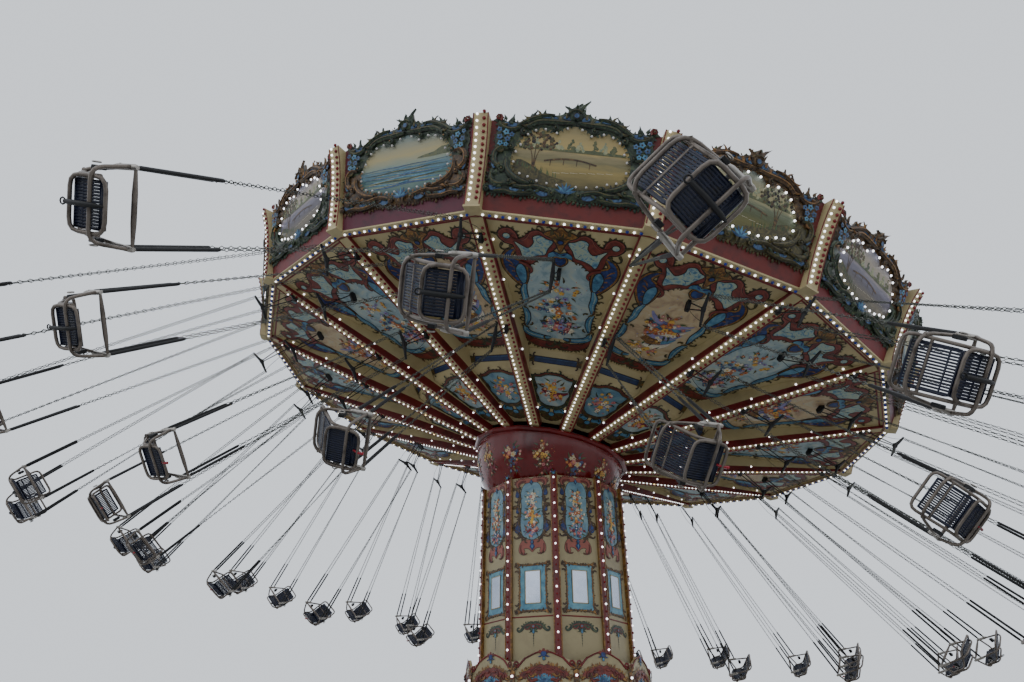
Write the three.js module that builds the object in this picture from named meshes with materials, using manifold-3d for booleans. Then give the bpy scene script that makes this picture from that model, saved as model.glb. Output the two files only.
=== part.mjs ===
// A chair swing ride (wave swinger): a fixed base drum, a tower that rises and turns,
// and a tilted canopy that spins and carries three rings of chairs on chains.
// Units are millimetres, +Z is up, and the origin is the middle of the base on the ground.
// The canopy leans towards +X, and the chairs are shown flung out, as in a ride.
import * as THREE from 'three';
import { mergeVertices } from 'three/addons/utils/BufferGeometryUtils.js';
import Module from 'manifold-3d';

const wasm = await Module();
wasm.setup();

const deg = THREE.MathUtils.degToRad;
const FIT = 0.3;

// Driving dimensions of the canopy, measured from the pivot along the tilted axis
const BAYS = 16;
const PIVOT_HEIGHT = 6870;
const TILT = deg(11);
const CANOPY_PHASE = deg(16.5);
const RIM_RADIUS = 6205;
const RIM_HEIGHT = 1150;
const CEILING_EDGE = 6080;
const STEP_RADIUS = 3030;
const RISER_FOOT = 2820;
const HUB_RADIUS = 1440;
const HUB_TOP = 1230;
const RIB_SLOPE = 0.24;
const RIB_WIDTH = 240;
const PANEL_THICKNESS = 25;
const BOARD_HEIGHT = 1250;
const BOARD_LEAN = 430;
const BOARD_THICKNESS = 40;
const CREST_HEIGHT = 400;
const PILLAR_WIDTH = 230;
const SPHERE_RADIUS = 1450;
const DECK_EYE = 620;
const DECK_TOP = 2270;

// Driving dimensions of the tower, the lift and the base
const FACES = 10;
const TOWER_PHASE = deg(25);
const TOWER_RADIUS = 1329;
const TOWER_BOTTOM = 2550;
const TOWER_TOP = 6030;
const HEAD_HEIGHT = 5206;
const LIFT_TOP = 5200;
const LIFT_BOTTOM = 2300;
const MAST_TOP = 3100;
const MAST_RADIUS = 325;
const BASE_PHASE = deg(34);
const DRUM_RADIUS = 1600;
const DRUM_VALLEY = 2950;
const DRUM_CREST = 3100;
const DRUM_BOTTOM = 160;
const DRUM_WALL = 40;
const FOOT_RADIUS = 1900;
const BOSS_RADIUS = 450;
const BOSS_TOP = 360;
const SPINDLE_RADIUS = 260;

// Rings of chairs: where they hang, how long, how far they fly out and how far they trail
const FLARE_SWING = deg(-2.8);
const FLARE_AZIMUTH = deg(74.6);
const OUTER_RING = { name: 'outer', radius: 5720, length: 5600, flare: 53.1, trail: -13.5 };
const MIDDLE_RING = { name: 'middle', radius: 5003, length: 5360, flare: 51.7, trail: -13 };
const INNER_RING = { name: 'inner', radius: 3950, length: 4910, flare: 45.9, trail: -6.6 };

// Chairs that sway out of their ring's even flight: extra flare, trail and turn in degrees
const EVEN = { flare: 0, trail: 0, turn: 0 };
const SWAYS = {
  outer_12: { flare: 2.4, trail: -4.2, turn: 4 },
  outer_13: { flare: 1, trail: -2.7, turn: 28 },
  middle_11: { flare: 0.9, trail: -1.1, turn: 2 },
  middle_12: { flare: -0.4, trail: 0.1, turn: -5 },
  middle_13: { flare: -2, trail: 3.2, turn: -13 },
  inner_12: { flare: -0.9, trail: -3.9, turn: 7 },
  inner_13: { flare: -0.7, trail: 1.8, turn: -7 },
};

// One chair and its hanger, in the chair's own directions: forward, left and up
const SEAT_DROP = 110;
const SEAT_PITCH = deg(8);
const SEAT_TURN = 17;
const ROD_LENGTH = 620;
const SPREADER_HALF = 250;
const SPREADER_INSETS = [18, 48];
const EYES = [166, 46];
const ARM_HALF = 300;
const ARM_REAR_HALF = 230;
const ARM_HEIGHT = 200;
const ARM_FRONT = 190;
const ARM_REAR = -345;
const HOOP_FORWARD = 70;
const HOOP_HALF = 235;
const HOOP_DROP = -62;
const PAN_HALF = 200;
const PAN_FRONT = 190;
const PAN_REAR = -140;
const BACK_TOP = [-365, 330];
const TUBE = 32;
const CHAIN = 12;

const paint = (color, roughness, metalness = 0) =>
  new THREE.MeshStandardMaterial({ color, roughness, metalness });
const materials = {
  cream: paint(0xcfc49c, 0.5),
  darkRed: paint(0x5e1712, 0.4),
  enamelRed: paint(0x7a1a14, 0.2),
  board: paint(0x8a4a38, 0.5),
  roof: paint(0xb9ab86, 0.7),
  steel: paint(0x8d8f90, 0.45, 0.8),
  darkSteel: paint(0x303336, 0.5, 0.6),
  chair: paint(0x777a7c, 0.4, 0.6),
};

// A geometry as a closed solid: shared vertices merged, faces pointing out
function solid(geometry) {
  const plain = geometry.clone();
  plain.deleteAttribute('normal');
  plain.deleteAttribute('uv');
  const merged = mergeVertices(plain, 1e-3);
  const points = new Float32Array(merged.attributes.position.array);
  const corners = [];
  const index = merged.index.array;
  let volume = 0;
  const [a, b, c] = [new THREE.Vector3(), new THREE.Vector3(), new THREE.Vector3()];
  for (let i = 0; i < index.length; i += 3) {
    const [p, q, r] = [index[i], index[i + 1], index[i + 2]];
    if (p === q || q === r || r === p) continue;
    corners.push(p, q, r);
    a.fromArray(points, 3 * p);
    b.fromArray(points, 3 * q);
    c.fromArray(points, 3 * r);
    volume += a.dot(b.cross(c));
  }
  if (volume < 0) {
    for (let i = 0; i < corners.length; i += 3) {
      [corners[i], corners[i + 1]] = [corners[i + 1], corners[i]];
    }
  }
  return new wasm.Manifold(new wasm.Mesh({
    numProp: 3, vertProperties: points, triVerts: new Uint32Array(corners),
  }));
}

const join = (pieces) => pieces.reduce((whole, piece) => whole.add(piece));

function meshOf(name, body, material) {
  const made = body.getMesh();
  const geometry = new THREE.BufferGeometry();
  geometry.setAttribute('position', new THREE.BufferAttribute(made.vertProperties, 3));
  geometry.setIndex(new THREE.BufferAttribute(made.triVerts, 1));
  geometry.computeVertexNormals();
  const mesh = new THREE.Mesh(geometry, material);
  mesh.name = name;
  return mesh;
}

// A ring turned about Z from [radius, height] points, with its first corner at the phase
function turned(profile, sides, phase = 0) {
  const points = profile.map(([r, z]) => new THREE.Vector2(r, z));
  points.push(points[0].clone());
  const geometry = new THREE.LatheGeometry(points, sides);
  geometry.rotateX(Math.PI / 2);
  geometry.rotateZ(phase + Math.PI / 2);
  return solid(geometry);
}

// A flat outline of [u, v] points, thick along w, placed by an origin and three directions
function plate(outline, thickness, origin, u, v, w, opening) {
  const shape = new THREE.Shape(outline.map(([x, y]) => new THREE.Vector2(x, y)));
  if (opening) shape.holes.push(new THREE.Path(opening.map(([x, y]) => new THREE.Vector2(x, y))));
  const geometry = new THREE.ExtrudeGeometry(shape, { depth: thickness, bevelEnabled: false });
  geometry.applyMatrix4(new THREE.Matrix4().makeBasis(u, v, w).setPosition(origin));
  return solid(geometry);
}

// A chain between two points, as a plain rod of three sides
function chain(from, to, side) {
  const along = to.clone().sub(from);
  const length = along.length();
  along.normalize();
  const u = side.clone().addScaledVector(along, -side.dot(along)).normalize();
  const v = along.clone().cross(u);
  const outline = [0, 1, 2].map((i) => {
    const turn = i * 2 * Math.PI / 3;
    return [CHAIN * Math.cos(turn), CHAIN * Math.sin(turn)];
  });
  return plate(outline, length, from, u, v, along);
}

// A straight square bar between two points, with one side facing the given direction
function bar(from, to, width, height, side) {
  const along = to.clone().sub(from);
  const length = along.length();
  along.normalize();
  const v = side.clone().addScaledVector(along, -side.dot(along)).normalize();
  const w = along.clone().cross(v);
  const geometry = new THREE.BoxGeometry(length, width, height);
  const middle = from.clone().lerp(to, 0.5);
  geometry.applyMatrix4(new THREE.Matrix4().makeBasis(along, v, w).setPosition(middle));
  return solid(geometry);
}

const vector = (x, y, z) => new THREE.Vector3(x, y, z);
const polar = (radius, angle, z) => vector(radius * Math.cos(angle), radius * Math.sin(angle), z);
const UP = vector(0, 0, 1);
const bayAngle = (index) => CANOPY_PHASE + index * 2 * Math.PI / BAYS;

// Heights of the canopy's underside by radius, on the line of a rib
const ribBottom = (r) => RIM_HEIGHT - 15 - RIB_SLOPE * (CEILING_EDGE + 27 - r);
const outerCeiling = (r) => 809 + (r - STEP_RADIUS) * 0.1155;
const innerCeiling = (r) => 530 - (RISER_FOOT - r) * 0.2963;

// The fixed base: a bolted foundation, a ten-sided drum with a scalloped edge, and a mast
function foundation() {
  return turned([[0, 0], [FOOT_RADIUS, 0], [FOOT_RADIUS, DRUM_BOTTOM - FIT],
    [BOSS_RADIUS, DRUM_BOTTOM - FIT], [BOSS_RADIUS, BOSS_TOP], [0, BOSS_TOP]], 24);
}

function basePlinth() {
  const inner = DRUM_RADIUS + FIT;
  const outer = DRUM_RADIUS + 120;
  const shoulder = DRUM_BOTTOM + 170;
  const top = DRUM_BOTTOM + 260;
  return turned([[inner, DRUM_BOTTOM], [outer, DRUM_BOTTOM], [outer, shoulder],
    [DRUM_RADIUS + 50, top], [inner, top]], FACES, BASE_PHASE);
}

// The drum's wall, with a scalloped upper edge that rises to a crest on every face
function baseDrum() {
  const half = DRUM_RADIUS * Math.sin(Math.PI / FACES);
  const apothem = DRUM_RADIUS * Math.cos(Math.PI / FACES);
  const inner = DRUM_RADIUS - DRUM_WALL;
  const above = DRUM_CREST + 50;
  const overlap = 10;
  const steps = 8;
  const notch = [[half + overlap, above], [half + overlap, DRUM_VALLEY]];
  for (let i = 0; i <= steps; i += 1) {
    const t = 1 - 2 * i / steps;
    const share = 0.5 * (1 + Math.cos(Math.PI * t));
    notch.push([half * t, DRUM_VALLEY + (DRUM_CREST - DRUM_VALLEY) * share]);
  }
  notch.push([-half - overlap, DRUM_VALLEY], [-half - overlap, above]);
  const cuts = [];
  for (let i = 0; i < FACES; i += 1) {
    const outward = polar(1, BASE_PHASE + (i + 0.5) * 2 * Math.PI / FACES, 0);
    const origin = outward.clone().multiplyScalar(apothem - 2 * DRUM_WALL);
    cuts.push(plate(notch, 3 * DRUM_WALL, origin, UP.clone().cross(outward), UP.clone(), outward));
  }
  return turned([[inner, DRUM_BOTTOM], [DRUM_RADIUS, DRUM_BOTTOM], [DRUM_RADIUS, DRUM_CREST],
    [inner, DRUM_CREST]], FACES, BASE_PHASE).subtract(join(cuts));
}

function guideMast() {
  const foot = BOSS_TOP + FIT;
  return turned([[MAST_RADIUS - 35, foot], [MAST_RADIUS, foot], [MAST_RADIUS, MAST_TOP],
    [MAST_RADIUS - 35, MAST_TOP]], 4, deg(45));
}

// The lift: a square tube that slides on the mast, with a round bearing plate on top
function liftCarriage() {
  const inner = MAST_RADIUS + 20;
  const outer = inner + 55;
  const bearing = 900;
  const tube = turned([[inner, LIFT_BOTTOM], [outer, LIFT_BOTTOM], [outer, LIFT_TOP - 20],
    [inner, LIFT_TOP - 20]], 4, deg(45));
  const cap = turned([[0, LIFT_TOP - 50], [bearing, LIFT_TOP - 50], [bearing, LIFT_TOP],
    [0, LIFT_TOP]], 24);
  return tube.add(cap);
}

// The tower: a head that turns on the lift, its ten panels and pillars, the tilted spindle
const towerInner = TOWER_RADIUS - 30;
const headTop = HEAD_HEIGHT + 80;

function towerHead() {
  const edge = towerInner - FIT;
  return turned([[0, HEAD_HEIGHT], [edge, HEAD_HEIGHT], [edge, headTop], [0, headTop]],
    FACES, TOWER_PHASE);
}

function towerPanels() {
  return turned([[towerInner, TOWER_BOTTOM], [TOWER_RADIUS, TOWER_BOTTOM],
    [TOWER_RADIUS, TOWER_TOP], [towerInner, TOWER_TOP]], FACES, TOWER_PHASE);
}

function towerPillars() {
  const inner = TOWER_RADIUS + FIT;
  const outer = TOWER_RADIUS + 40;
  const foot = turned([[towerInner, TOWER_BOTTOM - 60], [outer, TOWER_BOTTOM - 60],
    [outer, TOWER_BOTTOM - FIT], [towerInner, TOWER_BOTTOM - FIT]], FACES, TOWER_PHASE);
  const sleeve = turned([[inner, TOWER_BOTTOM - 30], [outer, TOWER_BOTTOM - 30],
    [outer, TOWER_TOP + 24], [inner, TOWER_TOP + 24]], FACES, TOWER_PHASE);
  const strips = [];
  const width = 130;
  const height = 4000;
  const middle = (TOWER_BOTTOM + TOWER_TOP) / 2;
  for (let i = 0; i < FACES; i += 1) {
    const angle = TOWER_PHASE + i * 2 * Math.PI / FACES;
    strips.push(bar(polar(towerInner - 200, angle, middle), polar(outer + 100, angle, middle),
      width, height, UP.clone().cross(polar(1, angle, 0))));
  }
  return foot.add(sleeve.intersect(join(strips)));
}

function tiltSpindle() {
  const base = headTop + FIT;
  const flange = 560;
  const foot = turned([[0, base], [flange, base], [flange, base + 44], [330, base + 194],
    [0, base + 194]], 24);
  const low = -1490;
  const high = 650;
  const shaft = turned([[0, low], [SPINDLE_RADIUS, low], [SPINDLE_RADIUS, high], [0, high]], 24)
    .rotate([0, THREE.MathUtils.radToDeg(TILT), 0])
    .translate([0, 0, PIVOT_HEIGHT]);
  return foot.add(shaft);
}

// The canopy: hub, sphere, collar, ceilings, rim, boards, pillars and roof
function canopyHub() {
  const bore = SPINDLE_RADIUS + 15;
  const core = 420;
  const disc = 60;
  const lid = HUB_TOP - 50;
  return turned([[bore, FIT], [HUB_RADIUS, FIT], [HUB_RADIUS, disc], [core, disc], [core, lid],
    [HUB_RADIUS, lid], [HUB_RADIUS, HUB_TOP], [bore, HUB_TOP]], BAYS, CANOPY_PHASE);
}

function centreSphere() {
  const inner = SPHERE_RADIUS - 30;
  const low = -1150;
  const steps = 6;
  const arc = (radius, from, to) => Array.from({ length: steps }, (_, i) => {
    const z = from + (to - from) * i / (steps - 1);
    return [Math.sqrt(radius * radius - z * z), z];
  });
  return turned([...arc(SPHERE_RADIUS, 0, low), ...arc(inner, low, 0)], 24, CANOPY_PHASE);
}

function sphereCollar() {
  const lobes = BAYS * 2;
  const reach = SPHERE_RADIUS + 106;
  const scallop = 24;
  const depth = 85;
  const outline = [];
  for (let i = 0; i < lobes; i += 1) {
    const angle = CANOPY_PHASE + i * 2 * Math.PI / lobes;
    const radius = reach - scallop * Math.cos(BAYS * (angle - CANOPY_PHASE));
    outline.push([radius * Math.cos(angle), radius * Math.sin(angle)]);
  }
  const top = ribBottom(HUB_RADIUS) - FIT;
  const cover = plate(outline, depth, vector(0, 0, top - depth), vector(1, 0, 0),
    vector(0, 1, 0), UP.clone());
  const edge = SPHERE_RADIUS + 5;
  const bore = turned([[0, -200], [edge, -200], [edge, 100], [0, 100]], 24, CANOPY_PHASE);
  return cover.subtract(bore);
}

function innerCeilingRing() {
  const t = PANEL_THICKNESS;
  const edge = HUB_RADIUS + 21;
  const back = RISER_FOOT - t;
  return turned([[edge, innerCeiling(edge)], [RISER_FOOT, innerCeiling(RISER_FOOT)],
    [STEP_RADIUS, outerCeiling(STEP_RADIUS)], [STEP_RADIUS, outerCeiling(STEP_RADIUS) + t],
    [back, innerCeiling(RISER_FOOT) + t], [edge, innerCeiling(edge) + t]],
  BAYS, CANOPY_PHASE);
}

function outerCeilingRing() {
  const t = PANEL_THICKNESS;
  const edge = STEP_RADIUS + FIT;
  return turned([[edge, outerCeiling(edge)], [CEILING_EDGE, outerCeiling(CEILING_EDGE)],
    [CEILING_EDGE, outerCeiling(CEILING_EDGE) + t], [edge, outerCeiling(edge) + t]],
  BAYS, CANOPY_PHASE);
}

function rimFascia() {
  const inner = CEILING_EDGE + FIT;
  return turned([[inner, RIM_HEIGHT - 30], [RIM_RADIUS, RIM_HEIGHT - 30],
    [RIM_RADIUS, RIM_HEIGHT - FIT], [RIM_RADIUS - BOARD_THICKNESS - 10, RIM_HEIGHT - FIT],
    [inner, RIM_HEIGHT + 60]], BAYS, CANOPY_PHASE);
}

// The outer face of a rounding board, by height above the rim
const boardRadius = (z) => RIM_RADIUS + BOARD_LEAN * (z - RIM_HEIGHT) / BOARD_HEIGHT;

function roundingBoards() {
  const top = RIM_HEIGHT + BOARD_HEIGHT;
  const t = BOARD_THICKNESS;
  const ring = turned([[RIM_RADIUS, RIM_HEIGHT], [boardRadius(top), top],
    [boardRadius(top) - t, top], [RIM_RADIUS - t, RIM_HEIGHT]], BAYS, CANOPY_PHASE);
  const half = 880;
  const sink = -30;
  const shoulder = 0.42 * CREST_HEIGHT;
  const crest = [[-half, sink], [half, sink], [half, 0], [330, shoulder], [120, CREST_HEIGHT],
    [-120, CREST_HEIGHT], [-330, shoulder], [-half, 0]];
  const apothem = Math.cos(Math.PI / BAYS);
  const pieces = [ring];
  for (let i = 0; i < BAYS; i += 1) {
    const angle = bayAngle(i + 0.5);
    const outward = polar(1, angle, 0);
    const across = UP.clone().cross(outward);
    const rise = outward.clone().multiplyScalar(BOARD_LEAN * apothem)
      .addScaledVector(UP, BOARD_HEIGHT).normalize();
    const normal = across.clone().cross(rise);
    const foot = outward.clone().multiplyScalar(boardRadius(top) * apothem - t + 3)
      .addScaledVector(UP, top);
    pieces.push(plate(crest, t - 8, foot, across, rise, normal));
  }
  return join(pieces);
}

function cornerPillars() {
  const inner = (z) => boardRadius(z) + FIT;
  const face = [[0.02, 105], [0.3, 70], [0.75, 90], [1.03, 150]];
  const low = RIM_HEIGHT + 2;
  const top = RIM_HEIGHT + BOARD_HEIGHT * 1.03;
  const profile = [[inner(low), low],
    ...face.map(([share, depth]) => {
      const z = RIM_HEIGHT + BOARD_HEIGHT * share;
      return [boardRadius(z) + depth, z];
    }), [inner(top), top]];
  const pillars = [];
  for (let i = 0; i < BAYS; i += 1) {
    const outward = polar(1, bayAngle(i), 0);
    const across = UP.clone().cross(outward);
    pillars.push(plate(profile, PILLAR_WIDTH, across.clone().multiplyScalar(PILLAR_WIDTH / 2),
      outward, UP.clone(), across.negate()));
  }
  const under = RIM_HEIGHT - 45;
  const over = RIM_HEIGHT + 40;
  const bead = turned([[RIM_RADIUS + FIT, under], [RIM_RADIUS + 30, under],
    [RIM_RADIUS + 45, over], [inner(over), over]], BAYS, CANOPY_PHASE);
  return bead.add(join(pillars));
}

function roofDeck() {
  const sheet = 30;
  const eave = RIM_HEIGHT + 350;
  const edge = boardRadius(eave) - BOARD_THICKNESS - FIT;
  return turned([[DECK_EYE, DECK_TOP - sheet], [edge, eave], [edge, eave + sheet],
    [DECK_EYE, DECK_TOP]], BAYS, CANOPY_PHASE);
}

function roofCap() {
  const post = 340;
  const neck = DECK_EYE - FIT;
  const brim = [760, DECK_TOP + FIT];
  const dome = [[700, 80], [420, 160], [200, 290], [0, 410]].map(([r, z]) => [r, DECK_TOP + z]);
  return turned([[0, HUB_TOP + FIT], [post, HUB_TOP + FIT], [post, DECK_TOP - 20],
    [neck, DECK_TOP - 20], [neck, DECK_TOP + FIT], brim, ...dome], BAYS, CANOPY_PHASE);
}

// Directions are worked out level, then turned into the tilted canopy
const tiltBack = new THREE.Matrix4().makeRotationY(-TILT);
const tiltOver = new THREE.Matrix4().makeRotationY(TILT);
const intoCanopy = (direction) => direction.clone().applyMatrix4(tiltBack);

// One chair on its chains, hung from an anchor on the canopy's underside
function chairSet(anchor, angle, ring, index) {
  const sway = SWAYS[`${ring.name}_${index + 1}`] ?? EVEN;
  const flare = deg(ring.flare + sway.flare) + FLARE_SWING * Math.cos(angle - FLARE_AZIMUTH);
  const fall = polar(Math.sin(flare), angle + deg(ring.trail + sway.trail), -Math.cos(flare));
  const place = anchor.clone().applyMatrix4(tiltOver).addScaledVector(fall, ring.length);
  const tangent = UP.clone().cross(vector(place.x, place.y, 0)).normalize();
  const rise = fall.clone().negate();
  const ahead = tangent.addScaledVector(rise, -tangent.dot(rise)).normalize()
    .applyAxisAngle(rise, deg(SEAT_TURN + sway.turn));
  const left = intoCanopy(rise.clone().cross(ahead));
  const right = left.clone().negate();
  const down = intoCanopy(fall);
  const forward = intoCanopy(ahead);
  const seatForward = forward.clone().multiplyScalar(Math.cos(SEAT_PITCH))
    .addScaledVector(down, -Math.sin(SEAT_PITCH));
  const seatUp = seatForward.clone().cross(left);
  const seat = anchor.clone().addScaledVector(down, ring.length + SEAT_DROP);
  const at = (f, l, u) => seat.clone().addScaledVector(seatForward, f)
    .addScaledVector(left, l).addScaledVector(seatUp, u);

  // The bracket, the two rods and the spreader as one flat yoke, then the four chains
  const thick = 34;
  const halfYoke = [[9, ROD_LENGTH - 22], [14, 60], [45, 60], [45, 0]];
  const tipLow = [SPREADER_HALF, ROD_LENGTH + 24];
  const tipHigh = [SPREADER_HALF, ROD_LENGTH - 6];
  const mirrored = ([x, y]) => [-x, y];
  const yoke = [tipLow, tipHigh, ...halfYoke];
  const pieces = [plate([...yoke, ...yoke.map(mirrored).reverse()], thick,
    anchor.clone().addScaledVector(forward, -thick / 2), right, down, right.clone().cross(down))];
  for (const side of [-1, 1]) {
    EYES.forEach((eye, i) => {
      const tip = anchor.clone().addScaledVector(down, ROD_LENGTH + 8)
        .addScaledVector(left, side * (SPREADER_HALF - SPREADER_INSETS[i]));
      pieces.push(chain(tip, at(eye, side * (ARM_HALF - 4), ARM_HEIGHT), left));
    });
  }

  // The arms, the hoop under the seat, and the pan with its reclined back
  const half = TUBE / 2;
  const arms = (grow) => [[ARM_REAR - grow, -ARM_REAR_HALF - grow],
    [ARM_FRONT + grow, -ARM_HALF - grow], [ARM_FRONT + grow, ARM_HALF + grow],
    [ARM_REAR - grow, ARM_REAR_HALF + grow]];
  pieces.push(plate(arms(half), TUBE, at(0, 0, ARM_HEIGHT - half), seatForward, left, seatUp,
    arms(-half)));
  const halfHoop = [[ARM_HALF - half, ARM_HEIGHT], [ARM_HALF, ARM_HEIGHT],
    [HOOP_HALF + half, HOOP_DROP - half]];
  const inside = [HOOP_HALF - half, -12];
  const hoop = [mirrored(inside), inside, ...halfHoop, ...halfHoop.map(mirrored).reverse()];
  pieces.push(plate(hoop, TUBE, at(HOOP_FORWARD, 0, 0), left, seatUp, seatForward));
  const [backRear, backTop] = BACK_TOP;
  const profile = [[PAN_FRONT, -50], [PAN_FRONT, 0], [PAN_REAR, 0], [backRear + 40, backTop],
    [backRear, backTop - 15], [PAN_REAR - 50, -50]];
  pieces.push(plate(profile, 2 * PAN_HALF, at(0, PAN_HALF, 0), seatForward, seatUp, right));
  return join(pieces);
}

// A rib of the canopy with its outer and inner chair
function ribWithChairs(index) {
  const angle = bayAngle(index);
  const outward = polar(1, angle, 0);
  const across = UP.clone().cross(outward);
  const inner = HUB_RADIUS + FIT;
  const end = CEILING_EDGE - FIT - RIB_WIDTH / 2 * Math.tan(Math.PI / BAYS);
  const outline = [[inner, ribBottom(inner)], [end, ribBottom(end)],
    [end, outerCeiling(end) - FIT], [STEP_RADIUS, outerCeiling(STEP_RADIUS) - 2 * FIT],
    [RISER_FOOT, innerCeiling(RISER_FOOT) - 2 * FIT], [inner, innerCeiling(inner) - 2 * FIT]];
  const beam = plate(outline, RIB_WIDTH, across.clone().multiplyScalar(RIB_WIDTH / 2),
    outward, UP.clone(), across.clone().negate());
  const sets = [OUTER_RING, INNER_RING].map((ring) => {
    const anchor = polar(ring.radius, angle, ribBottom(ring.radius) + 10);
    return chairSet(anchor, angle, ring, index);
  });
  return join([beam, ...sets]);
}

// A chair hung from a bracket under the ceiling panel between two ribs
function bayChair(index) {
  const angle = bayAngle(index + 0.5);
  const outward = polar(1, angle, 0);
  const across = UP.clone().cross(outward);
  const width = 90;
  const depth = 60;
  const reach = 85;
  const under = (r) => outerCeiling(r / Math.cos(Math.PI / BAYS)) - FIT - 0.02;
  const [near, middle, far] = [-reach, 0, reach].map((step) => MIDDLE_RING.radius + step);
  const outline = [[near, under(near) - depth], [far, under(far) - depth],
    [far, under(far)], [near, under(near)]];
  const bracket = plate(outline, width, across.clone().multiplyScalar(width / 2),
    outward, UP.clone(), across.clone().negate());
  const anchor = polar(middle, angle, under(middle) - depth + 8);
  return bracket.add(chairSet(anchor, angle, MIDDLE_RING, index));
}

const ride = new THREE.Group();
const canopy = new THREE.Group();
canopy.position.set(0, 0, PIVOT_HEIGHT);
canopy.rotation.y = TILT;
ride.add(canopy);

ride.add(
  meshOf('foundation', foundation(), materials.darkSteel),
  meshOf('base_plinth', basePlinth(), materials.darkRed),
  meshOf('base_drum', baseDrum(), materials.cream),
  meshOf('guide_mast', guideMast(), materials.steel),
  meshOf('lift_carriage', liftCarriage(), materials.steel),
  meshOf('tower_head', towerHead(), materials.darkSteel),
  meshOf('tower_panels', towerPanels(), materials.cream),
  meshOf('tower_pillars', towerPillars(), materials.darkRed),
  meshOf('tilt_spindle', tiltSpindle(), materials.darkSteel),
);

canopy.add(
  meshOf('canopy_hub', canopyHub(), materials.darkSteel),
  meshOf('centre_sphere', centreSphere(), materials.enamelRed),
  meshOf('sphere_collar', sphereCollar(), materials.darkRed),
  meshOf('inner_ceiling', innerCeilingRing(), materials.cream),
  meshOf('outer_ceiling', outerCeilingRing(), materials.cream),
  meshOf('rim_fascia', rimFascia(), materials.cream),
  meshOf('rounding_boards', roundingBoards(), materials.board),
  meshOf('corner_pillars', cornerPillars(), materials.cream),
  meshOf('roof_deck', roofDeck(), materials.roof),
  meshOf('roof_cap', roofCap(), materials.roof),
);

for (let i = 0; i < BAYS; i += 1) {
  const number = String(i + 1).padStart(2, '0');
  canopy.add(meshOf(`rib_${number}_with_chairs`, ribWithChairs(i), materials.chair));
  canopy.add(meshOf(`bay_chair_${number}`, bayChair(i), materials.chair));
}

export default ride;
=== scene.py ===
"""Looks of the chair swing ride: finishes, painted panels, carvings, lamps, chains and chairs.

Lengths are in metres in the model's frame: +Z up, the origin under the tower, and the canopy
leaning towards +X. A flat design is drawn in (u, v, h): across a panel, up or outwards along it,
and out of its surface. Half a design is drawn for u > 0, and mirrored.
"""
import math
import random

import bpy
import numpy as np
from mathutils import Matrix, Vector
from mathutils.geometry import tessellate_polygon


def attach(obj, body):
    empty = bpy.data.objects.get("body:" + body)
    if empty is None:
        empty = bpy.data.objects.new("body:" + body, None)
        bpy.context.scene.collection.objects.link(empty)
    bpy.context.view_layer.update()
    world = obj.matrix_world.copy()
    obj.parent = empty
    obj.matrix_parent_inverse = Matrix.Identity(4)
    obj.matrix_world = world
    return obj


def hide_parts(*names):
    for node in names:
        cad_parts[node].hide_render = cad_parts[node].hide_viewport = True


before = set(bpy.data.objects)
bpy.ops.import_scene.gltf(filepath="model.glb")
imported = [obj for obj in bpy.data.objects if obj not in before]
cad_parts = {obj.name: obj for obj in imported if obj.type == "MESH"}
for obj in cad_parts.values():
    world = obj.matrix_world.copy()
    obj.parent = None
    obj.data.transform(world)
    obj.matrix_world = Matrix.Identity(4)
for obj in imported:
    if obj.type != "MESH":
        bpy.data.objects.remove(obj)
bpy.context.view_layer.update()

# Driving dimensions, the same as the model's
BAYS = 16
PIVOT_HEIGHT = 6.87
TILT = math.radians(11)
CANOPY_PHASE = math.radians(16.5)
RIM_RADIUS = 6.205
RIM_HEIGHT = 1.15
CEILING_EDGE = 6.08
STEP_RADIUS = 3.03
STEP_HEIGHT = 0.809
OUTER_SLOPE = 0.1155
RISER_FOOT = 2.82
RISER_LOW = 0.530
INNER_SLOPE = 0.2963
HUB_RADIUS = 1.44
RIB_WIDTH = 0.24
RIB_SLOPE = 0.24
RIB_TIP = 6.107
RIB_DROP = 0.015
RIB_FIT = 0.0003
RED_BAND = 0.14
BOARD_HEIGHT = 1.25
BOARD_LEAN = 0.43
BOARD_THICKNESS = 0.04
CREST_HEIGHT = 0.4
EAVE_HEIGHT = 1.53
DECK_EYE = 0.62
DECK_TOP = 2.27
PILLAR_WIDTH = 0.23
SPHERE_RADIUS = 1.45
SPHERE_DEPTH = 1.15
FLOWER_RISE = -0.36
COLLAR_RADIUS = 1.555
COLLAR_SCALLOP = 0.035
FACES = 10
TOWER_PHASE = math.radians(25)
TOWER_RADIUS = 1.329
TOWER_BOTTOM = 2.55
TOWER_TOP = 6.03
BASE_PHASE = math.radians(34)
DRUM_RADIUS = 1.6
DRUM_VALLEY = 2.95
DRUM_CREST = 3.10
DRUM_BOTTOM = 0.16
DRUM_WALL = 0.04
FLARE_SWING = math.radians(-2.8)
FLARE_AZIMUTH = math.radians(74.6)
RINGS = {
    "outer": {"radius": 5.72, "length": 5.6, "flare": 53.1, "trail": -13.5},
    "middle": {"radius": 5.003, "length": 5.36, "flare": 51.7, "trail": -13.0},
    "inner": {"radius": 3.95, "length": 4.91, "flare": 45.9, "trail": -6.6},
}

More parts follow.
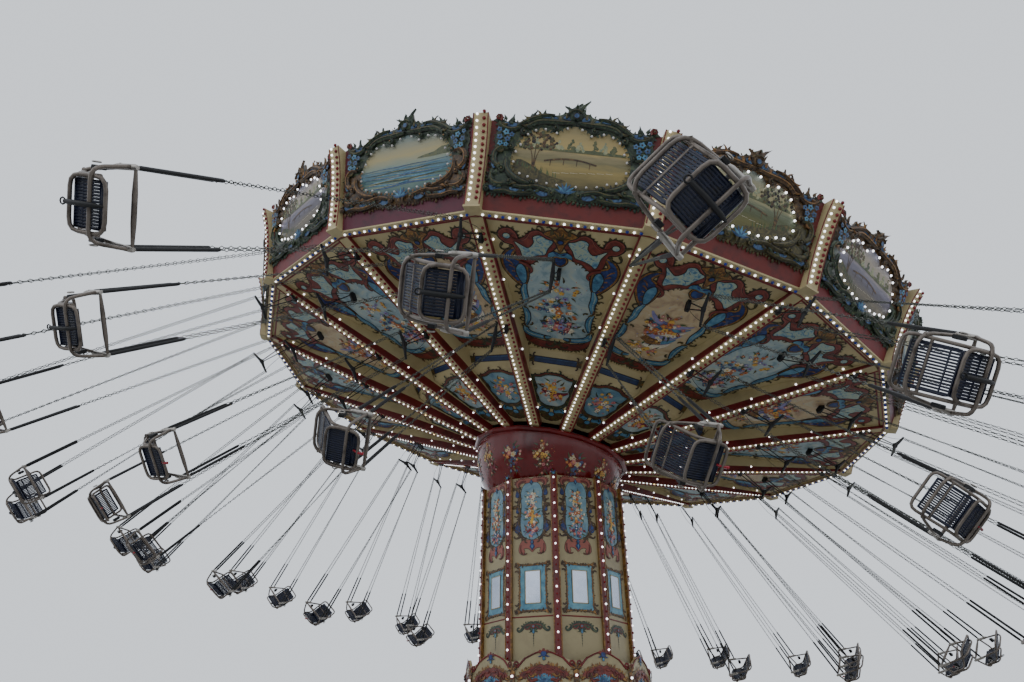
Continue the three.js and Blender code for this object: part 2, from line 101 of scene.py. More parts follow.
# Chairs that sway out of their ring, in degrees of flare, trail and turn
SWAYS = {
    ("outer", 12): (2.4, -4.2, 4), ("outer", 13): (1, -2.7, 28), ("middle", 11): (0.9, -1.1, 2),
    ("middle", 12): (-0.4, 0.1, -5), ("middle", 13): (-2, 3.2, -13), ("inner", 12): (-0.9, -3.9, 7),
    ("inner", 13): (-0.7, 1.8, -7),
}
SEAT_DROP = 0.11
SEAT_PITCH = math.radians(8)
SEAT_TURN = 17
ROD_LENGTH = 0.62
SPREADER_HALF = 0.25
SPREADER_INSETS = (0.018, 0.048)
EYES = (0.166, 0.046)
ARM_HALF = 0.3
ARM_REAR_HALF = 0.23
ARM_HEIGHT = 0.2
ARM_FRONT = 0.19
ARM_REAR = -0.345
HOOP_FORWARD = 0.07
HOOP_HALF = 0.235
HOOP_DROP = -0.062
PAN_FRONT = 0.19
PAN_REAR = -0.14
TUBE = 0.016
GRILLE_HALF = 0.172
EYE_HALF = ARM_HALF - 0.004
EYE_TOP = ARM_HEIGHT + 0.045
SLEEVE_LENGTH = 0.8
LINK_PITCH = 0.05

# Height of a hanger's anchor over a rib's soffit, and its depth under the outer ceiling
RIB_ANCHOR = 0.010
CEILING_ANCHOR = 0.0523

# Lamps stand in two rows, this far from a rib's or a pillar's middle line
ROW_OFFSET = 0.052
RIB_LAMP_PITCH = 0.1
TOWER_LAMP_PITCH = 0.117

# Turn from one flower of a bouquet to the next, which spreads them evenly
GOLDEN_ANGLE = 2.399963

# Layers of a painted picture, each a little proud of the last
FAR, LAND, TRUNKS, BRIDGE, NEAR = 0.0122, 0.0130, 0.0135, 0.0140, 0.0145

# The viewpoint, from which the ride is seen from below
EYE_PLACE = (1.174, -13.557, 1.612)
EYE_PITCH = math.radians(120.37)
EYE_HEADING = math.radians(8.17)
LENS = 25.2
SENSOR = 36.0
FLOOR_REACH = 400.0

UP = np.array([0.0, 0.0, 1.0])
BAY_APOTHEM = math.cos(math.pi / BAYS)
FACE_APOTHEM = math.cos(math.pi / FACES)
BOARD_TOP = RIM_HEIGHT + BOARD_HEIGHT
BOARD_RISE = math.hypot(BOARD_HEIGHT, BOARD_LEAN * BAY_APOTHEM)


def outer_ceiling(r):
    """Height of the outer ceiling above the pivot, at a corner radius."""
    return STEP_HEIGHT + (r - STEP_RADIUS) * OUTER_SLOPE


def inner_ceiling(r):
    """Height of the inner ceiling above the pivot, at a corner radius."""
    return RISER_LOW - (RISER_FOOT - r) * INNER_SLOPE


def rib_bottom(r):
    """Height of a rib's soffit above the pivot."""
    return RIM_HEIGHT - RIB_DROP - RIB_SLOPE * (RIB_TIP - r)


def board_radius(z):
    """Corner radius of the rounding boards' outer face, by height."""
    return RIM_RADIUS + BOARD_LEAN * (z - RIM_HEIGHT) / BOARD_HEIGHT


# Places and directions


def unit(v):
    """A vector of length 1 in the same direction."""
    v = np.asarray(v, float)
    return v / np.linalg.norm(v)


def polar(radius, angle, z=0.0):
    """The point at this radius, angle and height."""
    return np.array([radius * math.cos(angle), radius * math.sin(angle), z])


def place(origin, u, v, h):
    """The matrix of a frame with this origin and these axes."""
    matrix = np.eye(4)
    matrix[:3, 0], matrix[:3, 1], matrix[:3, 2], matrix[:3, 3] = u, v, h, origin
    return matrix


CANOPY = place(
    (0, 0, PIVOT_HEIGHT),
    (math.cos(TILT), 0, -math.sin(TILT)),
    (0, 1, 0),
    (math.sin(TILT), 0, math.cos(TILT)),
)
MIRROR = np.diag([-1.0, 1.0, 1.0, 1.0])


def panel_frame(angle, apothem, near, far):
    """The frame of a flat panel between two (corner radius, height) points, facing down or out."""
    out = polar(1, angle)
    across = np.cross(UP, out)
    low = out * near[0] * apothem + UP * near[1]
    high = out * far[0] * apothem + UP * far[1]
    along = unit(high - low)
    return place(low, across, along, np.cross(across, along))


def bay_frame(index, near, far):
    """The frame of a flat panel in a bay of the canopy."""
    return CANOPY @ panel_frame(rib_angle(index + 0.5), BAY_APOTHEM, near, far)


def rib_angle(index):
    """Angle of a rib, or of a bay's middle at half an index."""
    return CANOPY_PHASE + index * 2 * math.pi / BAYS


def shift(v=0.0, h=0.0):
    """A move along a flat design and out of its surface."""
    return place((0, v, h), *np.eye(3))


# Finishes

FINISH = {}


def srgb(red, green, blue):
    """A colour given as 0 to 255 values, as linear light."""
    values = [c / 255 for c in (red, green, blue)]
    return tuple(c / 12.92 if c <= 0.04045 else ((c + 0.055) / 1.055) ** 2.4 for c in values)


def node(tree, kind, **sockets):
    """A new shader node with values on its sockets."""
    made = tree.nodes.new(kind)
    for key, value in sockets.items():
        made.inputs[key.replace("_", " ")].default_value = value
    return made


def ramp(tree, source, stops):
    """A colour ramp with (position, colour) stops."""
    made = tree.nodes.new("ShaderNodeValToRGB")
    elements = made.color_ramp.elements
    while len(elements) < len(stops):
        elements.new(0.5)
    for element, (position, color) in zip(elements, stops):
        element.position = position
        element.color = (*color, 1)
    tree.links.new(source, made.inputs["Fac"])
    return made


def started(name):
    """A new finish, given as its node tree, its shader and its texture coordinates."""
    material = bpy.data.materials.new(name)
    material.use_nodes = True
    FINISH[name] = material
    tree = material.node_tree
    return tree, tree.nodes["Principled BSDF"], tree.nodes.new("ShaderNodeTexCoord")


def layered(name, stops, rough=0.45, metal=0.0, scale=2.5, grain=40.0, bump=0.15, swirl=0.0, glow=0.0):
    """A finish in clouds of several tones, with gloss and fine relief that vary too."""
    tree, shader, coordinates = started(name)
    link = tree.links.new
    clouds = node(tree, "ShaderNodeTexNoise", Scale=scale, Detail=6.0, Roughness=0.62, Distortion=swirl)
    fine = node(tree, "ShaderNodeTexNoise", Scale=grain, Detail=3.0)
    for texture in (clouds, fine):
        link(coordinates.outputs["Object"], texture.inputs["Vector"])
    tones = ramp(tree, clouds.outputs["Fac"], stops)
    link(tones.outputs["Color"], shader.inputs["Base Color"])
    gloss = node(tree, "ShaderNodeMapRange", To_Min=max(rough - 0.1, 0.05), To_Max=min(rough + 0.15, 1.0))
    link(clouds.outputs["Fac"], gloss.inputs["Value"])
    link(gloss.outputs["Result"], shader.inputs["Roughness"])
    relief = node(tree, "ShaderNodeBump", Strength=bump, Distance=0.004)
    link(fine.outputs["Fac"], relief.inputs["Height"])
    link(relief.outputs["Normal"], shader.inputs["Normal"])
    shader.inputs["Metallic"].default_value = metal
    if glow:
        shader.inputs["Emission Color"].default_value = (*stops[-1][1], 1)
        shader.inputs["Emission Strength"].default_value = glow


def worn(name, color, second, rough=0.45, **settings):
    """A painted or metal finish that fades from one tone into a darker second one."""
    stops = [(0.3, srgb(*second)), (0.52, srgb(*color)), (0.8, srgb(*color))]
    layered(name, stops, rough, **settings)


def marbled(name, tones, scale=7.0, rough=0.42):
    """Brushed paint in which several tones run into each other."""
    places = np.linspace(0.34, 0.66, len(tones))
    layered(name, [(p, srgb(*t)) for p, t in zip(places, tones)], rough, scale=scale, swirl=1.6)


def picture(name, bands, roll=0.14):
    """A painted landscape's ground: bands of colour by height on the panel's own coordinates."""
    tree, shader, coordinates = started(name)
    link = tree.links.new
    stretch = node(tree, "ShaderNodeMapping", Scale=(1.0, 3.2, 1.0))
    link(coordinates.outputs["UV"], stretch.inputs["Vector"])
    split = tree.nodes.new("ShaderNodeSeparateXYZ")
    link(coordinates.outputs["UV"], split.inputs["Vector"])
    hills = node(tree, "ShaderNodeTexNoise", Scale=4.0, Detail=7.0, Roughness=0.65)
    strokes = node(tree, "ShaderNodeTexNoise", Scale=22.0, Detail=4.0, Distortion=1.2)
    for texture in (hills, strokes):
        link(stretch.outputs["Vector"], texture.inputs["Vector"])
    wave = node(tree, "ShaderNodeMapRange", To_Min=-roll, To_Max=roll)
    link(hills.outputs["Fac"], wave.inputs["Value"])
    height = tree.nodes.new("ShaderNodeMath")
    link(split.outputs["Y"], height.inputs[0])
    link(wave.outputs["Result"], height.inputs[1])
    land = ramp(tree, height.outputs["Value"], [(p, srgb(*c)) for p, c in bands])
    link(land.outputs["Color"], shader.inputs["Base Color"])
    relief = node(tree, "ShaderNodeBump", Strength=0.4, Distance=0.004)
    link(strokes.outputs["Fac"], relief.inputs["Height"])
    link(relief.outputs["Normal"], shader.inputs["Normal"])
    shader.inputs["Roughness"].default_value = 0.5


worn("cream", (184, 168, 124), (160, 143, 103), 0.5, scale=1.3)
worn("cream_shade", (150, 134, 98), (122, 106, 76), 0.55)
# A darker copy of the cream, painted shade, for the tower and the drum that stand under the canopy
worn("tower_cream", (160, 147, 110), (138, 124, 91), 0.4, scale=1.6)
worn("dark_red", (104, 22, 20), (70, 13, 13), 0.35)
worn("line_red", (116, 26, 24), (80, 16, 16), 0.4)
worn("sphere_red", (104, 16, 16), (70, 9, 11), 0.14, scale=1.5, bump=0.04)
marbled("red_brown", ((72, 24, 20), (112, 40, 32), (130, 58, 44)), 6.0)
worn("rose_light", (154, 86, 72), (122, 60, 50))
worn("terracotta", (106, 31, 25), (74, 20, 16), 0.5, scale=5.0)
worn("mauve", (92, 31, 50), (62, 20, 35), 0.5, scale=5.0)
worn("rose", (114, 40, 42), (78, 26, 28), 0.5, scale=5.0)
marbled("marble", ((70, 112, 140), (118, 154, 164), (170, 176, 146), (126, 158, 168), (64, 104, 132)))
marbled("light_blue", ((34, 78, 108), (66, 118, 148), (96, 146, 168)), 5.0)
marbled("panel_blue", ((52, 106, 132), (84, 140, 160), (116, 164, 174)), 3.0, 0.3)
marbled("panel_sky", ((74, 112, 134), (102, 140, 156), (130, 158, 162)), 3.0, 0.3)
marbled("blue", ((10, 24, 66), (22, 46, 104), (46, 76, 136)), 8.0)
marbled("mid_blue", ((24, 48, 84), (48, 80, 118), (78, 112, 146)), 9.0)
worn("navy_bar", (24, 46, 88), (14, 30, 60), 0.35, scale=6.0)
marbled("green", ((18, 30, 22), (42, 58, 42), (78, 90, 58)), 10.0)
marbled("olive", ((34, 32, 16), (70, 64, 32), (104, 94, 50)), 10.0)
worn("leaf", (64, 92, 52), (34, 56, 34), scale=6.0)
marbled("gold", ((70, 42, 16), (122, 82, 34), (164, 120, 56)), 12.0, 0.38)
marbled("bronze", ((38, 26, 16), (76, 54, 30), (118, 90, 50)), 12.0)
worn("ink", (34, 25, 22), (18, 14, 13), 0.5)
marbled("sky", ((120, 146, 154), (156, 174, 176), (178, 184, 168)), 3.0)
marbled("blush", ((160, 134, 108), (190, 168, 130), (186, 176, 148)), 3.0)
marbled("haze", ((112, 124, 104), (146, 148, 112), (168, 160, 124)), 9.0)
marbled("haze_dark", ((58, 70, 48), (84, 90, 58), (106, 104, 66)), 9.0)
worn("lilac", (136, 132, 176), (98, 98, 144), scale=6.0)
worn("pink", (196, 120, 116), (150, 74, 74), scale=9.0)
worn("wine", (120, 34, 50), (84, 20, 34), scale=9.0)
worn("yellow", (214, 170, 76), (186, 128, 50), scale=9.0)
worn("white", (220, 212, 188), (184, 172, 150), scale=9.0)
worn("orange", (192, 112, 58), (150, 74, 42), scale=9.0)
worn("mirror", (178, 186, 200), (158, 168, 184), 0.12, metal=1.0, bump=0.02)
worn("steel", (118, 109, 101), (76, 68, 62), 0.34, metal=0.6, scale=7.0, bump=0.12)
worn("casting", (170, 165, 158), (126, 120, 112), 0.32, metal=0.7, scale=16.0)
worn("chain", (98, 100, 94), (56, 56, 50), 0.45, metal=0.6, scale=14.0)
worn("black", (15, 15, 17), (7, 7, 9), 0.55, scale=14.0)
worn("navy", (17, 25, 50), (9, 13, 28), 0.38, scale=14.0, grain=160.0, bump=0.3)
worn("frame_grey", (108, 110, 112), (80, 80, 80), 0.5, metal=0.3)
worn("frame_dark", (48, 50, 52), (30, 30, 32), 0.5, metal=0.3)
worn("roof", (188, 176, 146), (150, 136, 108), 0.65, scale=1.1, bump=0.3)
worn("bulb_white", (250, 251, 255), (240, 242, 250), 0.2, glow=2.6)
# A dim grey lamp, painted shade: the same lamp as the glowing white one, shown as if in shadow
worn("bulb_clear", (208, 204, 200), (168, 162, 160), 0.16, scale=20.0)
worn("bulb_red", (122, 10, 16), (86, 6, 10), 0.12, scale=20.0)
worn("bulb_blue", (28, 50, 150), (16, 30, 100), 0.12, scale=20.0)
worn("bulb_amber", (255, 220, 150), (240, 190, 110), 0.2, glow=4.0)
worn("handle", (156, 20, 40), (110, 12, 26), 0.3)
picture("evening", ((0.04, (79, 72, 41)), (0.22, (129, 114, 67)), (0.34, (153, 134, 79)),
                    (0.44, (117, 110, 76)), (0.54, (141, 129, 93)), (0.62, (177, 153, 96)),
                    (0.96, (146, 134, 96))))
picture("lagoon", ((0.04, (52, 83, 89)), (0.2, (103, 127, 115)), (0.3, (64, 100, 96)),
                   (0.42, (83, 115, 129)), (0.5, (129, 143, 129)), (0.66, (169, 155, 110)),
                   (0.96, (120, 136, 134))), 0.10)
picture("meadow", ((0.04, (55, 57, 31)), (0.2, (101, 96, 48)), (0.36, (79, 84, 50)),
                   (0.5, (96, 103, 79)), (0.58, (146, 141, 105)), (0.7, (162, 151, 110)),
                   (0.96, (114, 122, 114))))
picture("valley", ((0.04, (67, 64, 53)), (0.22, (110, 100, 83)), (0.38, (89, 84, 93)),
                   (0.5, (114, 110, 126)), (0.6, (151, 141, 138)), (0.74, (163, 151, 134)),
                   (0.96, (126, 126, 143))))


class Piece:
    """Points and faces of one piece, gathered with their paints before they become a mesh."""

    def __init__(self):
        self.points, self.marks, self.faces, self.count = [], [], [], 0

    def add(self, points, faces, paint, smooth=True, marks=None):
        """Adds points with faces of one size. marks are the points' places on a picture."""
        points = np.asarray(points, float).reshape(-1, 3)
        self.points.append(points)
        self.marks.append(np.zeros((len(points), 2)) if marks is None else np.asarray(marks, float))
        self.faces.append((np.asarray(faces, int) + self.count, paint, smooth))
        self.count += len(points)

    def stamp(self, other, matrix, bend=None, swap=None):
        """Adds a copy of another piece, moved by a matrix after an optional bend of its points."""
        points = np.concatenate(other.points)
        if bend is not None:
            points = bend(points)
        points = points @ matrix[:3, :3].T + matrix[:3, 3]
        turned = np.linalg.det(matrix[:3, :3]) < 0
        self.points.append(points)
        self.marks.append(np.concatenate(other.marks))
        for faces, paint, smooth in other.faces:
            kept = faces[:, ::-1] if turned else faces
            self.faces.append((kept + self.count, (swap or {}).get(paint, paint), smooth))
        self.count += len(points)

    def make(self, name, body, slot, replaces=()):
        """Makes the Blender object, which rides on a body and may stand for model nodes."""
        points = np.concatenate(self.points).astype(np.float32)
        marks = np.concatenate(self.marks)
        paints = sorted({paint for _, paint, _ in self.faces})
        corners = np.concatenate([faces.ravel() for faces, _, _ in self.faces]).astype(np.int32)
        sizes = np.concatenate([np.full(len(f), f.shape[1]) for f, _, _ in self.faces])
        starts = np.concatenate([[0], np.cumsum(sizes)[:-1]]).astype(np.int32)
        mesh = bpy.data.meshes.new(name)
        mesh.vertices.add(len(points))
        mesh.vertices.foreach_set("co", points.ravel())
        mesh.loops.add(len(corners))
        mesh.loops.foreach_set("vertex_index", corners)
        mesh.polygons.add(len(starts))
        mesh.polygons.foreach_set("loop_start", starts)
        indices = np.concatenate([np.full(len(f), paints.index(p)) for f, p, _ in self.faces])
        smooth = np.concatenate([np.full(len(f), s) for f, _, s in self.faces])
        mesh.polygons.foreach_set("material_index", indices.astype(np.int32))
        mesh.polygons.foreach_set("use_smooth", smooth)
        layer = mesh.uv_layers.new(name="panel")
        layer.data.foreach_set("uv", marks[corners].astype(np.float32).ravel())
        for paint in paints:
            mesh.materials.append(FINISH[paint])
        mesh.update(calc_edges=True)
        mesh.validate()
        made = bpy.data.objects.new(name, mesh)
        bpy.context.scene.collection.objects.link(made)
        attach(made, body)
        if replaces:
            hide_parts(*replaces)


# Curves


def spline(points, steps=6, closed=False):
    """Points along a smooth curve through the given ones."""
    p = np.asarray(points, float)
    count = len(p)
    t = np.linspace(0, 1, steps, endpoint=False)[:, None]
    made = []
    for i in range(count if closed else count - 1):
        around = [i - 1, i, i + 1, i + 2]
        a, b, c, d = [p[k % count] if closed else p[min(max(k, 0), count - 1)] for k in around]
        made.append(0.5 * (2 * b + (c - a) * t + (2 * a - 5 * b + 4 * c - d) * t ** 2
                           + (3 * b - a - 3 * c + d) * t ** 3))
    if not closed:
        made.append(p[-1:])
    return np.concatenate(made)


def curl(start, heading, length, first, last, steps=12):
    """A scroll that turns slowly at first and tightly at last, by turns in degrees over its length."""
    x = np.linspace(0, 1, steps + 1)
    angle = math.radians(heading) + np.radians(first) * x + np.radians(last - first) * x ** 3 / 3
    middle = (angle[:-1] + angle[1:]) / 2
    walk = np.cumsum(np.c_[np.cos(middle), np.sin(middle)] * length / steps, axis=0)
    return np.vstack([[0, 0], walk]) + np.asarray(start, float)


def rounded(points, radius, steps=4, closed=True):
    """A path through corner points with each corner rounded off."""
    p = [np.asarray(q, float) for q in points]
    count = len(p)
    path = []
    for i in range(count):
        if not closed and i in (0, count - 1):
            path.append(p[i])
            continue
        back, ahead = unit(p[i - 1] - p[i]), unit(p[(i + 1) % count] - p[i])
        a, b = p[i] + back * radius, p[i] + ahead * radius
        for t in np.linspace(0, 1, steps + 1):
            path.append(a * (1 - t) ** 2 + p[i] * 2 * t * (1 - t) + b * t ** 2)
    return np.array(path)


# Flat and raised shapes, added to a piece


def strip(n, low, high, closed=True):
    """Faces between two rows of n points, which start at these numbers."""
    i = np.arange(n if closed else n - 1)
    j = (i + 1) % n
    return np.c_[i + low, j + low, j + high, i + high]


def fan(n, first=0):
    """Faces from a ring of n points to the point that follows it."""
    i = np.arange(n)
    return np.c_[i + first, (i + 1) % n + first, np.full(n, n + first)]


def directions(path, closed):
    """The unit direction of a path at each point."""
    along = np.roll(path, -1, 0) - np.roll(path, 1, 0) if closed else np.gradient(path, axis=0)
    return along / (np.linalg.norm(along, axis=1)[:, None] + 1e-12)


def travelled(path):
    """The distance along a path at each point."""
    return np.concatenate([[0], np.cumsum(np.linalg.norm(np.diff(path, axis=0), axis=1))])


def spread(values, n):
    """A few sizes spread evenly over n points."""
    return np.interp(np.linspace(0, 1, n), np.linspace(0, 1, np.size(values)), np.ravel(values))


def ribbon(piece, path, width, paint, h=0.004, crown=0.0, closed=False):
    """A band along a flat path, with a raised middle if it has a crown."""
    path = np.asarray(path, float)
    n = len(path)
    tangent = directions(path, closed)
    half = np.c_[-tangent[:, 1], tangent[:, 0]] * spread(width, n)[:, None] / 2
    left = np.c_[path + half, np.full(n, h)]
    right = np.c_[path - half, np.full(n, h)]
    rows = [right, left] if crown == 0 else [right, np.c_[path, np.full(n, h + crown)], left]
    faces = [strip(n, k * n, (k + 1) * n, closed) for k in range(len(rows) - 1)]
    piece.add(np.concatenate(rows), np.concatenate(faces), paint)


def edged(piece, path, width, paint, edge="ink", h=0.004, crown=0.0, rim=0.008):
    """A band with a darker one just under it, which shows as an outline."""
    ribbon(piece, path, np.asarray(width, float) + 2 * rim, edge, h)
    ribbon(piece, path, width, paint, h + 0.002, crown)


def patch(piece, outline, paint, h=0.002, marks=None):
    """A flat filled outline."""
    outline = np.asarray(outline, float)
    x, y = outline[:, 0], outline[:, 1]
    if np.sum(x * np.roll(y, -1) - y * np.roll(x, -1)) < 0:
        outline = outline[::-1]
        marks = None if marks is None else marks[::-1]
    triangles = tessellate_polygon([[Vector((a, b, 0)) for a, b in outline]])
    faces = []
    for i, j, k in triangles:
        (ax, ay), (bx, by), (cx, cy) = outline[i], outline[j], outline[k]
        turn = (bx - ax) * (cy - ay) - (by - ay) * (cx - ax)
        faces.append((i, j, k) if turn > 0 else (i, k, j))
    piece.add(np.c_[outline, np.full(len(outline), h)], faces, paint, False, marks)


def grown(outline, reach):
    """A closed outline moved outward by a distance, or inward by a negative one."""
    p = np.asarray(outline, float)
    along = directions(p, True)
    turning = np.sum(p[:, 0] * np.roll(p[:, 1], -1) - p[:, 1] * np.roll(p[:, 0], -1))
    return p + np.c_[along[:, 1], -along[:, 0]] * math.copysign(reach, turning * reach)


def nested(piece, outline, layers, h):
    """The same outline filled several times, each on top of the last, as (growth, paint) layers."""
    for k, (reach, paint) in enumerate(layers):
        patch(piece, grown(outline, reach), paint, h + 0.0015 * k)


def inked(piece, outline, rim, paint, h):
    """A filled outline with a dark rim."""
    nested(piece, outline, [(rim, "ink"), (0, paint)], h)


def round_patch(at, radius, count=10):
    """The outline of a disc."""
    angle = np.arange(count) * 2 * math.pi / count
    return np.c_[at[0] + radius * np.cos(angle), at[1] + radius * np.sin(angle)]


def leaf(piece, at, heading, length, width, paint, h=0.004, crown=0.0, bend=20):
    """A pointed leaf that bends as it goes, flat or with a raised rib."""
    ribbon(piece, curl(at, heading, length, bend, bend, 4),
           [width * 0.35, width, width * 0.75, width * 0.4, 0.002], paint, h, crown)


def tendril(piece, at, heading, length, spin=1, paint="olive", h=0.008, width=0.026, crown=0.0):
    """A thin shoot that curls up at its end, with a small leaf near its root."""
    edged(piece, curl(at, heading, length, 30 * spin, 420 * spin, 9),
          [width, width, width * 0.7, width * 0.5], paint, "ink", h, crown, 0.006)
    leaf(piece, at, heading + 35 * spin, length * 0.45, width * 1.5, paint, h + 0.003, crown, -30 * spin)


def bloom(piece, at, radius, paint, heart="yellow", h=0.006, petals=5, turn=0.0):
    """A flower seen from the front."""
    count = 2 * petals
    angle = turn + np.arange(count) * 2 * math.pi / count
    reach = np.where(np.arange(count) % 2 == 0, radius, radius * 0.66)
    ring = np.c_[at[0] + reach * np.cos(angle), at[1] + reach * np.sin(angle), np.full(count, h)]
    piece.add(np.vstack([ring, [at[0], at[1], h + radius * 0.12]]), fan(count), paint)
    dot(piece, at, radius * 0.3, heart, h + radius * 0.1)


def dot(piece, at, radius, paint, h=0.004, sides=5):
    """A small round spot with a raised middle."""
    ring = np.c_[round_patch(at, radius, sides), np.full(sides, h)]
    piece.add(np.vstack([ring, [at[0], at[1], h + radius * 0.2]]), fan(sides), paint)


def bulb(piece, at, paint="bulb_white", radius=0.024, h=0.0, ring=False):
    """A small round lamp that stands out of the surface, here and there with a black socket ring."""
    sides = 6
    circle = round_patch((0, 0), 1.0, sides)
    low, high = [np.c_[circle * radius * r + at, np.full(sides, h + radius * z)]
                 for r, z in ((0.95, 0.0), (0.85, 0.8))]
    first = piece.count
    piece.add(np.vstack([low, high, [at[0], at[1], h + radius * 1.25]]), strip(sides, 0, sides), paint)
    piece.faces.append((fan(sides, sides) + first, paint, True))
    if ring:
        ribbon(piece, circle * radius * 1.5 + at, radius * 0.6, "black", h + 0.004, 0.006, True)


def fringe(piece, path, reach, pitch, paint, h=0.004, side=1, lean=50, seed=1, crown=0.0):
    """Small leaves along one side of a path, like a carved or painted edge."""
    path = np.asarray(path, float)
    run = travelled(path)
    draw = random.Random(seed)
    for s in np.arange(pitch / 2, run[-1], pitch):
        at = [np.interp(s, run, path[:, k]) for k in (0, 1)]
        ahead = [np.interp(s + pitch / 4, run, path[:, k]) for k in (0, 1)]
        heading = math.degrees(math.atan2(ahead[1] - at[1], ahead[0] - at[0]))
        size = reach * draw.uniform(0.65, 1.2)
        leaf(piece, at, heading + side * lean * draw.uniform(0.6, 1.3), size, size * 0.75, paint, h,
             size * crown, side * draw.uniform(30, 90))


def bouquet(piece, at, width, height, paints, count, size, seed, h=0.006, leaves=10):
    """Flowers gathered in an oval, the larger ones low in the middle, with leaves round them."""
    draw = random.Random(seed)
    for k in range(leaves):
        turn = k * 360 / leaves + draw.uniform(-14, 14)
        spot = [at[0] + math.cos(math.radians(turn)) * width * 0.34,
                at[1] + math.sin(math.radians(turn)) * height * 0.34]
        leaf(piece, spot, turn, size * draw.uniform(1.8, 3.0), size * 0.7,
             draw.choice(("leaf", "green", "olive")), h, 0.0, draw.choice((-50, 50)))
    for k in range(count):
        share = math.sqrt((k + 0.5) / count)
        turn = k * GOLDEN_ANGLE + draw.uniform(-0.5, 0.5)
        spot = [at[0] + math.cos(turn) * share * width / 2,
                at[1] + math.sin(turn) * share * height / 2 - height * 0.06]
        radius = size * (1.25 - 0.65 * share) * draw.uniform(0.7, 1.2)
        bloom(piece, spot, radius, draw.choice(paints), draw.choice(("yellow", "white", "wine")),
              h + 0.008 * (1 - share), 5, draw.uniform(0, 3))


def sprigs(piece, low, high, count, paints, seed, h=0.005, size=0.012):
    """Tiny petals scattered over a field."""
    draw = random.Random(seed)
    for _ in range(count):
        at = [draw.uniform(low[0], high[0]), draw.uniform(low[1], high[1])]
        dot(piece, at, draw.uniform(0.6, 1.2) * size, draw.choice(paints), h, 4)


def sweep(piece, path, section, paint, sizes=(1.0,), closed=False):
    """A section carried along a path in space, with flat ends unless the path is closed."""
    path, section = np.asarray(path, float), np.asarray(section, float)
    n, sides = len(path), len(section)
    tangent = directions(path, closed)
    side = np.cross(tangent[0], UP if abs(tangent[0][2]) < 0.9 else np.array([1.0, 0, 0]))
    axes = []
    for t in tangent:
        side = unit(side - t * (side @ t))
        axes.append((side, np.cross(t, side)))
    if closed:
        last = unit(side - tangent[0] * (side @ tangent[0]))
        first, second = axes[0]
        twist = math.atan2(last @ second, last @ first)
        axes = [(a * math.cos(twist * k / n) - b * math.sin(twist * k / n),
                 b * math.cos(twist * k / n) + a * math.sin(twist * k / n))
                for k, (a, b) in enumerate(axes)]
    rings = [spot + scale * (section[:, :1] * a + section[:, 1:] * b)
             for spot, scale, (a, b) in zip(path, spread(sizes, n), axes)]
    faces = [strip(sides, k * sides, (k + 1) % n * sides) for k in range(n if closed else n - 1)]
    piece.add(np.concatenate(rings), np.concatenate(faces), paint)
    if not closed:
        for k, order in ((0, -1), (n - 1, 1)):
            piece.add(rings[k], [(0, m, m + 1)[::order] for m in range(1, sides - 1)], paint, False)


def tube(piece, path, radius, paint, sides=8, closed=False):
    """A round tube along a path in space."""
    sweep(piece, path, round_patch((0, 0), 1.0, sides), paint, radius, closed)


def block(piece, centre, size, paint, chamfer=0.0):
    """A box, whose edges along the first axis may be chamfered."""
    a, b, c = [s / 2 for s in size]
    if chamfer:
        k = chamfer
        outline = [(-b + k, -c), (b - k, -c), (b, -c + k), (b, c - k), (b - k, c), (-b + k, c),
                   (-b, c - k), (-b, -c + k)]
    else:
        outline = [(-b, -c), (b, -c), (b, c), (-b, c)]
    n = len(outline)
    start = piece.count
    points = np.array([(x, y, z) for x in (-a, a) for y, z in outline]) + centre
    piece.add(points, strip(n, 0, n), paint, False)
    for m in range(1, n - 1):
        piece.faces.append((np.array([[0, m + 1, m], [n, n + m, n + m + 1]]) + start, paint, False))


def turned(piece, profile, paint, sides, phase, smooth=True):
    """A shape turned about Z from (radius, height) points."""
    angle = phase + np.arange(sides) * 2 * math.pi / sides
    rings = [np.c_[r * np.cos(angle), r * np.sin(angle), np.full(sides, z)] for r, z in profile]
    faces = [strip(sides, k * sides, (k + 1) * sides) for k in range(len(profile) - 1)]
    piece.add(np.concatenate(rings), np.concatenate(faces), paint, smooth)


def both(design, half):
    """Adds a half design and its mirror image."""
    design.stamp(half, np.eye(4))
    design.stamp(half, MIRROR)


# The canopy's painted ceiling


def mirrored_outline(right):
    """A closed outline from its right half, whose first and last points are on the middle line."""
    right = np.asarray(right, float)
    return np.vstack([right, (right * [-1, 1])[-2:0:-1]])


